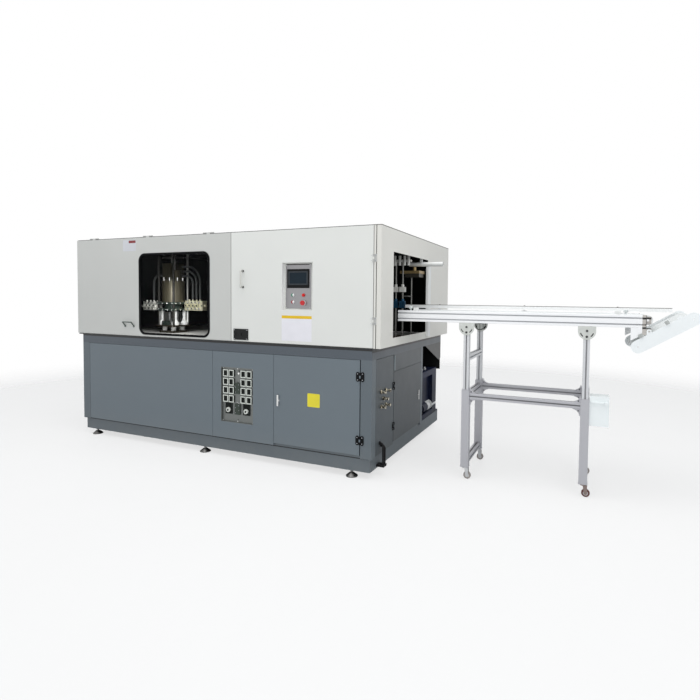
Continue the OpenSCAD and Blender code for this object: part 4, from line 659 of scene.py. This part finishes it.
finishes = {
    # Base frame: painted shade on the top beam, painted shadow lines under the doors and over the plinth
    "base_frame": powder_coat("base_frame_slate", shade(SLATE, 0.78),
                              patches=[(lambda f: f.ramp(f.z, 0.945, 0.955), BEAM_SHADE_SLATE), (shadow_line_under_doors, SHADOW_LINE_BLACK),
                                       (gusset_plate, (0.020, 0.022, 0.023)), (plinth_shadow_line, (0.012, 0.014, 0.016))]),
    "base_front_panels": powder_coat("front_slate", SLATE),
    # Painted shade: the base's right end is a darker copy of the front slate
    "base_end_panel": powder_coat("end_panel_shaded_slate", shade(SLATE, 0.44), patches=[(end_strip, (0.21, 0.255, 0.27))]),
    # Painted shade on the side panels' faces at the right end
    "base_side_panels": powder_coat("side_slate", shade(SLATE, 0.80), patches=[(right_end, shade(SLATE, 0.44))]),
    "machine_table": table_finish(),
    "levelling_feet": cast_metal("levelling_feet", (0.17, 0.167, 0.163), 0.32),
    "control_plate": brushed("control_plate", (0.195, 0.205, 0.198), "x", 0.36, metallic=0.8),
    "heater_regulators": regulators_finish(),
    "left_selector": selector_finish(),
    "door_hinges": hinge_finish(),
    "air_valves": fittings_finish(),
    "hoses_and_conduits": hose_finish(),
    "air_unit": air_unit_finish(),
    "cabinet_frame": powder_coat("cabinet_frame", (0.022, 0.024, 0.024), shine=0.15),
    # Painted shade: the roof's underside and the covers' inner sides are near black
    "roof_cover": powder_coat("roof_paint", PALE_GREY, shine=0.2,
                              patches=[(lambda f: f.short_of("z", CABINET_H - 1), INTERIOR_SHADE)]),
    "rear_covers": powder_coat("rear_paint", PALE_GREY, patches=[(shell_inside, INTERIOR_SHADE)], shine=0.2),
    "right_end_cover": powder_coat("end_cover_paint", WARM_GREY, shine=0.2,
                                   patches=[(cover_inside, INTERIOR_SHADE), (lambda f: f.past("x", 1), WHITE),
                                            (lambda f: f.past("z", CABINET_H - 7.5), (0.17, 0.16, 0.145))]),
    "guide_tube": pale_plastic,
    "station_frame": station_finish(),
    "stretch_carriage": cast_metal("stretch_carriage", (0.50, 0.50, 0.49), 0.3),
    "front_mould": mould_metal,
    "rear_mould": mould_metal,
    "preform_oven": oven_finish(),
    "transfer_unit": transfer_finish(),
    # Painted shade: the lift door is a darker copy of the cabinet's pale grey
    "lift_door_panel": powder_coat("lift_door_shaded_paint", shade(PALE_GREY, 0.82)),
    "window_pane": pane_finish(),
    "window_seal": rubber("window_seal"),
    "lift_handle": cast_metal("lift_handle", (0.10, 0.125, 0.110), 0.35, metallic=0.3),
    # Painted light: the recess wall is painted near white
    "control_door_panel": powder_coat("control_door_paint", shade(PALE_GREY, 1.06),
                                      patches=[(lit_recess_wall, (0.90, 0.90, 0.88))]),
    "operator_panel": operator_plate_finish(),
    "touch_screen": screen_finish(),
    "door_fittings": door_fittings_finish(),
    "start_button": cap_finish("start_button", START_AT, START_GREEN),
    "stop_button": cap_finish("stop_button", STOP_AT, STOP_RED),
    "emergency_button": moulded("emergency_button", (0.56, 0.012, 0.016), 0.30, coat=0.1),
    "base_front_door": powder_coat("front_door_slate", SLATE),
    "front_door_latch": bright,
    # Painted shade: the end door is a darker copy of the front slate
    "base_end_door": powder_coat("end_door_shaded_slate", shade(SLATE, 0.37)),
    "end_door_latch": bright,
    "stand_frame": leg_metal,
    "control_box": powder_coat("control_box_paint", (0.86, 0.90, 0.90), rough=0.34),
    "deck_frame": deck_finish(),
    "deck_belt": belts,
    "guide_rail": guide_finish(),
    "inner_legs": bracket_finish(),
    "tail_roller": roller_steel,
    "drive_roller": roller_steel,
    "incline_frame": powder_coat("incline_paint", (0.87, 0.90, 0.90), rough=0.36),
    "incline_belt": belts,
    "incline_tail_roller": roller_steel,
    "incline_drive_roller": roller_steel,
}
finishes["right_selector"] = finishes["left_selector"]
for corner in range(1, 5):
    finishes["caster_fork_%d" % corner] = bronze if corner == 2 else zinc
    finishes["caster_wheel_%d" % corner] = wheel_finish(corner)
for name, piece in nodes.items():
    piece.data.materials.clear()
    piece.data.materials.append(finishes[name])


# Small pieces that the solids leave out

def screw_tree():
    """Instances a socket head screw on every point, facing along the point's own direction."""
    tree = bpy.data.node_groups.new("screw_heads", "GeometryNodeTree")
    face = tree.interface
    face.new_socket("Geometry", in_out="INPUT", socket_type="NodeSocketGeometry")
    for label in ("Head radius", "Head height"):
        face.new_socket(label, in_out="INPUT", socket_type="NodeSocketFloat")
    face.new_socket("Finish", in_out="INPUT", socket_type="NodeSocketMaterial")
    face.new_socket("Geometry", in_out="OUTPUT", socket_type="NodeSocketGeometry")

    def make(kind, values=(), **settings):
        n = tree.nodes.new(kind)
        for key, value in settings.items():
            setattr(n, key, value)
        for key, value in values:
            n.inputs[key].default_value = value
        return n

    source = make("NodeGroupInput")
    head = make("GeometryNodeMeshCylinder", [("Vertices", 12)])
    rim = make("GeometryNodeExtrudeMesh", [("Offset Scale", 0.0), ("Individual", False)], mode="FACES")
    narrow = make("GeometryNodeScaleElements", [("Scale", 0.55)], domain="FACE")
    socket = make("GeometryNodeExtrudeMesh", [("Individual", False)], mode="FACES")
    depth = make("ShaderNodeMath", [(1, -0.6)], operation="MULTIPLY")
    facing = make("GeometryNodeInputNamedAttribute", [("Name", "facing")], data_type="FLOAT_VECTOR")
    turn = make("FunctionNodeAlignRotationToVector", axis="Z")
    place = make("GeometryNodeInstanceOnPoints")
    real = make("GeometryNodeRealizeInstances")
    paint = make("GeometryNodeSetMaterial")
    sink = make("NodeGroupOutput")
    for giver, output, taker, wanted in (
        (source, "Head radius", head, "Radius"),
        (source, "Head height", head, "Depth"),
        (source, "Head height", depth, 0),
        (head, "Mesh", rim, "Mesh"),
        (head, "Top", rim, "Selection"),
        (rim, "Mesh", narrow, "Geometry"),
        (rim, "Top", narrow, "Selection"),
        (narrow, "Geometry", socket, "Mesh"),
        (rim, "Top", socket, "Selection"),
        (depth, 0, socket, "Offset Scale"),
        (source, "Geometry", place, "Points"),
        (socket, "Mesh", place, "Instance"),
        (facing, "Attribute", turn, "Vector"),
        (turn, "Rotation", place, "Rotation"),
        (place, "Instances", real, "Geometry"),
        (real, "Geometry", paint, "Geometry"),
        (source, "Finish", paint, "Material"),
        (paint, "Geometry", sink, "Geometry"),
    ):
        tree.links.new(giver.outputs[output], taker.inputs[wanted])
    return tree


SCREWS = screw_tree()


def add(name, data):
    """Makes an object in the scene's collection."""
    thing = bpy.data.objects.new(name, data)
    bpy.context.collection.objects.link(thing)
    return thing


def link(name, mesh, body):
    """Puts a finished mesh in the scene, riding on a body."""
    piece = add(name, mesh)
    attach(piece, body)
    return piece


def mesh_piece(name, mesh, body, finish):
    """Turns its faces outward and makes a piece of it."""
    bmesh.ops.recalc_face_normals(mesh, faces=mesh.faces)
    data = bpy.data.meshes.new(name)
    mesh.to_mesh(data)
    mesh.free()
    data.materials.append(finish)
    return link(name, data, body)


def screws(name, body, finish, places, radius, height):
    """Screw heads, each given as a seat point and the way it faces, in machine millimetres."""
    points = bpy.data.meshes.new(name + "_points")
    points.from_pydata([at(*p) + Vector(d) * height / 2000 for p, d in places], [], [])
    facing = points.attributes.new("facing", "FLOAT_VECTOR", "POINT")
    for i, (_, d) in enumerate(places):
        facing.data[i].vector = d
    holder = add(name + "_points", points)
    modifier = holder.modifiers.new("screws", "NODES")
    modifier.node_group = SCREWS
    ids = {s.name: s.identifier for s in SCREWS.interface.items_tree if s.in_out == "INPUT"}
    modifier[ids["Head radius"]] = radius / 1000
    modifier[ids["Head height"]] = height / 1000
    modifier[ids["Finish"]] = finish
    evaluated = holder.evaluated_get(bpy.context.evaluated_depsgraph_get())
    mesh = bpy.data.meshes.new_from_object(evaluated)
    bpy.data.objects.remove(holder)
    link(name, mesh, body)


def join_rings(mesh, rings):
    """Closes a loft over equal rings, with a face at each end."""
    count = len(rings[0])
    for low, high in zip(rings, rings[1:]):
        for i in range(count):
            j = (i + 1) % count
            mesh.faces.new((low[i], low[j], high[j], high[i]))
    mesh.faces.new(rings[0][::-1])
    mesh.faces.new(rings[-1])


def rounded_plate(name, body, finish, corner, size, normal, thickness, radius):
    """A thin plate with round corners. Its corner is the lowest, its size runs along the other two axes."""
    mesh = bmesh.new()
    axes = [a for a in range(3) if a != "xyz".index(normal)]
    ring = []
    for cx, cy, start in ((size[0] - radius, size[1] - radius, 0), (radius, size[1] - radius, 90),
                          (radius, radius, 180), (size[0] - radius, radius, 270)):
        for step in range(7):
            angle = math.radians(start + step * 15)
            p = Vector(corner)
            p[axes[0]] += cx + radius * math.cos(angle)
            p[axes[1]] += cy + radius * math.sin(angle)
            ring.append(mesh.verts.new(at(*p)))
    face = mesh.faces.new(ring)
    push = Vector((0, 0, 0))
    push["xyz".index(normal)] = thickness / 1000
    grown = bmesh.ops.extrude_face_region(mesh, geom=[face])
    bmesh.ops.translate(mesh, verts=[v for v in grown["geom"] if isinstance(v, bmesh.types.BMVert)], vec=push)
    return mesh_piece(name, mesh, body, finish)


def star_knob(name, body, finish, centre, radius, height):
    """A five-lobed clamp knob that stands on its centre point."""
    mesh = bmesh.new()
    rings = []
    for width, rise, lobes in ((0.42, 0, 0), (0.42, 0.4, 0), (0.92, 0.46, 0.10), (1.0, 0.62, 0.12),
                               (0.94, 0.92, 0.11), (0.70, 1.0, 0.06)):
        ring = []
        for step in range(40):
            angle = math.radians(9 * step)
            reach = radius * width * (1 + lobes * math.cos(5 * angle))
            x, y = centre[0] + reach * math.cos(angle), centre[1] + reach * math.sin(angle)
            ring.append(mesh.verts.new(at(x, y, centre[2] + height * rise)))
        rings.append(ring)
    join_rings(mesh, rings)
    return mesh_piece(name, mesh, body, finish)


def clamp_block(name, body, finish, centre, size, lean):
    """A clamp block with rounded edges, leaning in X and Z, with a bolt head on its front."""
    mesh = bmesh.new()
    turn = Matrix.Translation(at(*centre)) @ Matrix.Rotation(-math.radians(lean), 4, "Y")
    block = bmesh.ops.create_cube(mesh, size=0.001)["verts"]
    for vert in block:
        vert.co = Vector([c * length for c, length in zip(vert.co, size)])
    bmesh.ops.bevel(mesh, geom=mesh.edges[:], offset=0.0018, segments=2, affect="EDGES")
    front = Matrix.Translation((0, -size[1] / 2000 - 0.0015, 0)) @ Matrix.Rotation(math.pi / 2, 4, "X")
    bmesh.ops.create_cone(mesh, cap_ends=True, segments=6, radius1=0.0055, radius2=0.005, depth=0.004, matrix=front)
    bmesh.ops.transform(mesh, matrix=turn, verts=mesh.verts)
    return mesh_piece(name, mesh, body, finish)


def slot_shadow_backing(name, body, finish, centre):
    """Two curved black strips behind the arc slots of a pivot bracket, put there as painted shade."""
    mesh = bmesh.new()
    for start in (196, 304):
        rings = []
        for step in range(10):
            angle = math.radians(start + step * 40 / 9)
            ring = []
            for r, dy in ((38, 0), (50, 0), (50, 1.5), (38, 1.5)):
                x, z = centre[0] + r * math.cos(angle), centre[2] + r * math.sin(angle)
                ring.append(mesh.verts.new(at(x, centre[1] + dy, z)))
            rings.append(ring)
        join_rings(mesh, rings)
    return mesh_piece(name, mesh, body, finish)


FRONT, RIGHT, UP = (0, -1, 0), (1, 0, 0), (0, 0, 1)
BOTH, QUARTERS = (-1, 1), (-96, -32, 32, 96)


def pairs(x, y, heights, half, facing):
    """Two screws about each height."""
    return [((x, y, z + s * half), facing) for z in heights for s in BOTH]


# Hinge wings of the front door
hinge_black = rubber("hinge_wings", (0.006, 0.0065, 0.007), 0.5)
hinge_screw = cast_metal("hinge_screws", (0.34, 0.35, 0.37), 0.32, stain=0.3)
for i, z in enumerate(BASE_HINGE_Z):
    for side, body, start in (("fixed", "machine", 7), ("door", "base_front_door", -35)):
        rounded_plate("hinge_wing_%s_%d" % (side, i), body, hinge_black,
                      (BASE_HINGE[0] + start, BASE_HINGE[1] + 1.2, z - 38), (28, 76), "y", thickness=4.8, radius=13)

# Fittings of the recessed plate, hinges and doors
plate_edges = [((-PLATE_X + sx * 162, PLATE_Y, PLATE_Z + sz * 234), FRONT) for sx in (-1, 0, 1) for sz in BOTH]
screws("control_plate_screws", "machine", bright, plate_edges, radius=5, height=3)
terminal_green = moulded("terminal_blocks", (0.022, 0.034, 0.024), 0.5)
for i, z in enumerate(TERMINAL_Z):
    rounded_plate("terminal_block_%d" % i, "machine", terminal_green,
                  (-PLATE_X - 28, PLATE_Y - 12, z - 48), (56, 96), "y", thickness=13, radius=3)
screws("terminal_screws", "machine", hinge_screw,
       [((-PLATE_X + 17 * side, PLATE_Y - 12, z + dz), FRONT)
        for z in TERMINAL_Z for side, dz in ((-1, -32), (1, -10), (-1, 12), (1, 34))],
       radius=4, height=2)
screws("plate_key", "machine", bright, [((-PLATE_X + 14, PLATE_Y, PLATE_Z + 194), FRONT)],
       radius=10, height=9)
screws("fixed_hinge_screws", "machine", hinge_screw,
       pairs(BASE_HINGE[0] + 21, BASE_HINGE[1] + 1.2, BASE_HINGE_Z, 24, FRONT)
       + pairs(END_HINGE[0] - 2, END_HINGE[1] - 18, END_HINGE_Z, 22, RIGHT)
       + pairs(CONTROL_HINGE[0] + 17, -3, CONTROL_HINGE_Z, 20, FRONT),
       radius=4.6, height=2)
screws("control_door_screws", "control_door", zinc,
       pairs(CONTROL_HINGE[0] - 17, -3, CONTROL_HINGE_Z, 20, FRONT)
       + [((PANEL_X + sx * 114, PANEL_Y, PANEL_Z + sz * 178), FRONT) for sx in BOTH for sz in BOTH]
       + [((x, -6, z), FRONT) for x in (-1380, -1244) for z in (1069, 1147)],
       radius=4, height=2)
screws("front_door_screws", "base_front_door", hinge_screw,
       pairs(BASE_HINGE[0] - 21, BASE_HINGE[1] + 1.2, BASE_HINGE_Z, 24, FRONT), radius=4.6, height=2)
screws("end_door_screws", "base_end_door", black_screw,
       pairs(END_HINGE[0] - 2, END_HINGE[1] + 19, END_HINGE_Z, 22, RIGHT), radius=4.6, height=2)

# Bolts of the stand, the station and the deck
screws("gusset_bolts", "stand", black_screw,
       [((x, y - 15, RAIL_Z + dz), FRONT)
        for y in LEG_Y for x in (LEG_X[0] + 44, LEG_X[1] - 44) for dz in (-38, 34)],
       radius=5, height=4)
screws("station_plate_bolts", "machine", bright,
       [((STATION[0] + d, STATION[1] - 120, z + 11), FRONT) for d in QUARTERS for z in PLATES_Z]
       + [((STATION[0] + 120, STATION[1] + d, z + 11), RIGHT) for d in QUARTERS for z in PLATES_Z],
       radius=7, height=7)
screws("barrel_studs", "machine", bright,
       [((STATION[0] + 101 * math.cos(a), STATION[1] + 101 * math.sin(a), BARREL_TOP), UP)
        for a in (math.radians(22.5 + 45 * i) for i in range(8))],
       radius=8, height=34)
screws("valve_couplings", "machine", bright,
       [((STATION[0] + side * (175 + PORT_PITCH * i), face, PLATE_1_Z + z), FRONT)
        for side, face, count in ((-1, 448, 3), (1, 602, 4)) for i in range(count) for z in (20, 84)],
       radius=11, height=18)
screws("bracket_bolts", "deck", zinc,
       [((x + dx, DECK_Y - 6, DECK_Z - 16), FRONT) for x in LEG_X for dx in (-44, 44)], radius=5, height=4)

# A dark sheet at the back of the open bay, put there as painted shade
bay_shade_paint = powder_coat("bay_shade_sheet", (0.012, 0.013, 0.013), shine=0.2)
rounded_plate("bay_shade_sheet", "machine", bay_shade_paint, (-331, 1984, 640), (256, 309), "y",
              thickness=1.5, radius=4)

# Painted shade: black strips behind the brackets' arc slots
slot_shadow_black = moulded("slot_shade_strips", (0.008, 0.008, 0.009), 0.5)
for i, x in enumerate(LEG_X):
    for side, y in (("near", DECK_Y + 0.4), ("far", DECK_Y + DECK_W - 1.9)):
        slot_shadow_backing("slot_liner_%s_%d" % (side, i), "deck", slot_shadow_black, (x, y, PIVOT_Z))

# The blank notice with its band, and the blank fields
for name, body, colour, rough, grain, corner, size, thickness, radius in (
    ("notice_sheet", "control_door", (0.80, 0.79, 0.83), 0.45, 200, (-894, -0.6, 1073), (288, 186), 0.6, 2),
    ("notice_band", "control_door", (0.76, 0.49, 0.006), 0.40, 900, (-894, -0.9, 1259), (288, 24), 0.9, 2),
    ("yellow_plate", "base_front_door", (0.76, 0.66, 0.03), 0.40, 900, (-648, 9.2, 535), (116, 112), 0.8, 8),
    ("small_sheet", "lift_door", (0.62, 0.63, 0.66), 0.45, 200, (-2731, -0.6, 1868), (174, 108), 0.6, 6),
    ("red_field", "lift_door", (0.20, 0.004, 0.008), 0.40, 900, (-2654, -0.9, 1945), (92, 25), 0.5, 6),
):
    rounded_plate(name, body, moulded(name, colour, rough, grain), corner, size, "y",
                  thickness, radius)

# Clamps of the guide rail and of the raised section
frost = moulded("frosted_knobs", (0.62, 0.66, 0.65), 0.34, coat=0.3)
clamp_grey = cast_metal("clamp_blocks", (0.40, 0.42, 0.41), 0.36, metallic=0.6)
rail_y = DECK_Y + 22
for i, (block_x, knob_x) in enumerate(((150, 104), (1640, 1690))):
    clamp_block("rail_clamp_%d" % i, "deck", pale_plastic, (block_x, rail_y, DECK_TOP + 12),
                (38, 30, 24), lean=0)
    star_knob("rail_knob_%d" % i, "deck", frost, (knob_x, rail_y, DECK_TOP), radius=15, height=34)
lean_cos, lean_sin = math.cos(math.radians(INCLINE_DEG)), math.sin(math.radians(INCLINE_DEG))
for i, d in enumerate((54, 236)):
    place = (INCLINE_X + d * lean_cos - 58 * lean_sin, DECK_Y - 9, DECK_Z - 132 + d * lean_sin + 58 * lean_cos)
    clamp_block("incline_clamp_%d" % i, "incline", clamp_grey, place, (26, 12, 26), lean=INCLINE_DEG)

# End caps of the deck's profiles
cap = moulded("profile_caps", (0.015, 0.015, 0.016), 0.5)
for side, y in (("near", DECK_Y), ("far", DECK_Y + DECK_W - PROFILE)):
    rounded_plate("deck_cap_%s" % side, "deck", cap, (DECK_L, y + 1, DECK_Z + 1), (43, 88), "x",
                  thickness=3, radius=3)


# Camera at the photo's place, a pale hall floor and soft overhead light

camera = add("camera", bpy.data.cameras.new("camera"))
camera.data.lens = 25.83
camera.data.sensor_width = 36
camera.data.shift_x, camera.data.shift_y = -0.0210, -0.0439
camera.data.clip_end = 60
yaw, pitch, roll = (math.radians(a) for a in (23.903, 2.402, 0.573))
ahead = Vector((-math.sin(yaw) * math.cos(pitch), math.cos(yaw) * math.cos(pitch), -math.sin(pitch)))
level = Vector((math.cos(yaw), math.sin(yaw), 0))
rise = level.cross(ahead)
across = level * math.cos(roll) + rise * math.sin(roll)
upward = rise * math.cos(roll) - level * math.sin(roll)
aimed = Matrix((across, upward, -ahead)).transposed().to_4x4()
camera.matrix_world = Matrix.Translation((2.070071, -4.5396, 1.4338)) @ aimed
bpy.context.scene.camera = camera


def lamp_over(name, place, aim, size, power):
    """A rectangular area lamp of so many watts, aimed at a point."""
    data = bpy.data.lights.new(name, "AREA")
    data.shape = "RECTANGLE"
    data.size, data.size_y = size
    data.energy = power
    lamp = add(name, data)
    lamp.location = place
    lamp.rotation_euler = (Vector(aim) - Vector(place)).to_track_quat("-Z", "Y").to_euler()


lamp_over("hall_lamps", (0.6, -1.6, 5.2), (0.2, -0.3, 0.9), (6.5, 3.0), power=162)
lamp_over("window_wall", (4.2, -5.2, 3.2), (0.4, -0.6, 1.0), (4.0, 3.0), power=82)
lamp_over("front_fill", (-0.2, -6.4, 1.7), (-1.9, 0.0, 1.4), (2.2, 1.6), power=22)
lamp_over("far_wall", (-5.5, -4.0, 3.0), (-1.5, -0.8, 1.0), (3.0, 3.0), power=22)
lamp_over("inner_lamp", at(-2330, 200, 1480), at(-2640, 350, 1120), (0.2, 0.12), power=2.4)

floor_mesh = bpy.data.meshes.new("floor")
corners = [(x * 30, y * 30, -0.001) for x, y in ((-1, -1), (1, -1), (1, 1), (-1, 1))]
floor_mesh.from_pydata(corners, [], [(0, 1, 2, 3)])
floor = add("floor", floor_mesh)
ground = Finish("floor")
cloud = ground.noise(0.8, 4)
grit = ground.noise(60, 4)
tint = ground.mix(cloud, (0.79, 0.79, 0.785), (0.84, 0.84, 0.835))
paint = ground.node("ShaderNodeBsdfPrincipled", {}, Base_Color=tint, Roughness=grit * 0.15 + 0.55,
                    Normal=ground.bump(grit, 0.0004, 0.2))
clear = ground.node("ShaderNodeBsdfTransparent", {})
distance = (ground.x * ground.x + ground.y * ground.y).root()
seen = ground.node("ShaderNodeLightPath", {}, output="Is Camera Ray")
blend = ground.node("ShaderNodeMixShader", {}, ground.ramp(distance, 1.8, 8.5).most(seen * 0.68), paint, clear)
surface = ground.tree.nodes.new("ShaderNodeOutputMaterial")
ground.tree.links.new(blend.socket, surface.inputs["Surface"])
floor_mesh.materials.append(ground.material)

# A cool room lights the machine; the camera, mirrors and glass see white
world = bpy.data.worlds.new("room")
bpy.context.scene.world = world
world.use_nodes = True
tree = world.node_tree
tree.nodes.clear()
ray = tree.nodes.new("ShaderNodeLightPath")
mix = tree.nodes.new("ShaderNodeMixShader")
out = tree.nodes.new("ShaderNodeOutputWorld")
for i, (colour, strength) in enumerate((((0.86, 0.90, 0.95, 1), 0.53), ((1, 1, 1, 1), 1))):
    shell = tree.nodes.new("ShaderNodeBackground")
    shell.inputs["Color"].default_value = colour
    shell.inputs["Strength"].default_value = strength
    tree.links.new(shell.outputs[0], mix.inputs[i + 1])
either = None
for kind in ("Is Camera Ray", "Is Glossy Ray", "Is Transmission Ray"):
    if either is None:
        either = ray.outputs[kind]
        continue
    most = tree.nodes.new("ShaderNodeMath")
    most.operation = "MAXIMUM"
    tree.links.new(either, most.inputs[0])
    tree.links.new(ray.outputs[kind], most.inputs[1])
    either = most.outputs[0]
tree.links.new(either, mix.inputs["Fac"])
tree.links.new(mix.outputs[0], out.inputs["Surface"])
bpy.context.scene.view_settings.view_transform = "Standard"
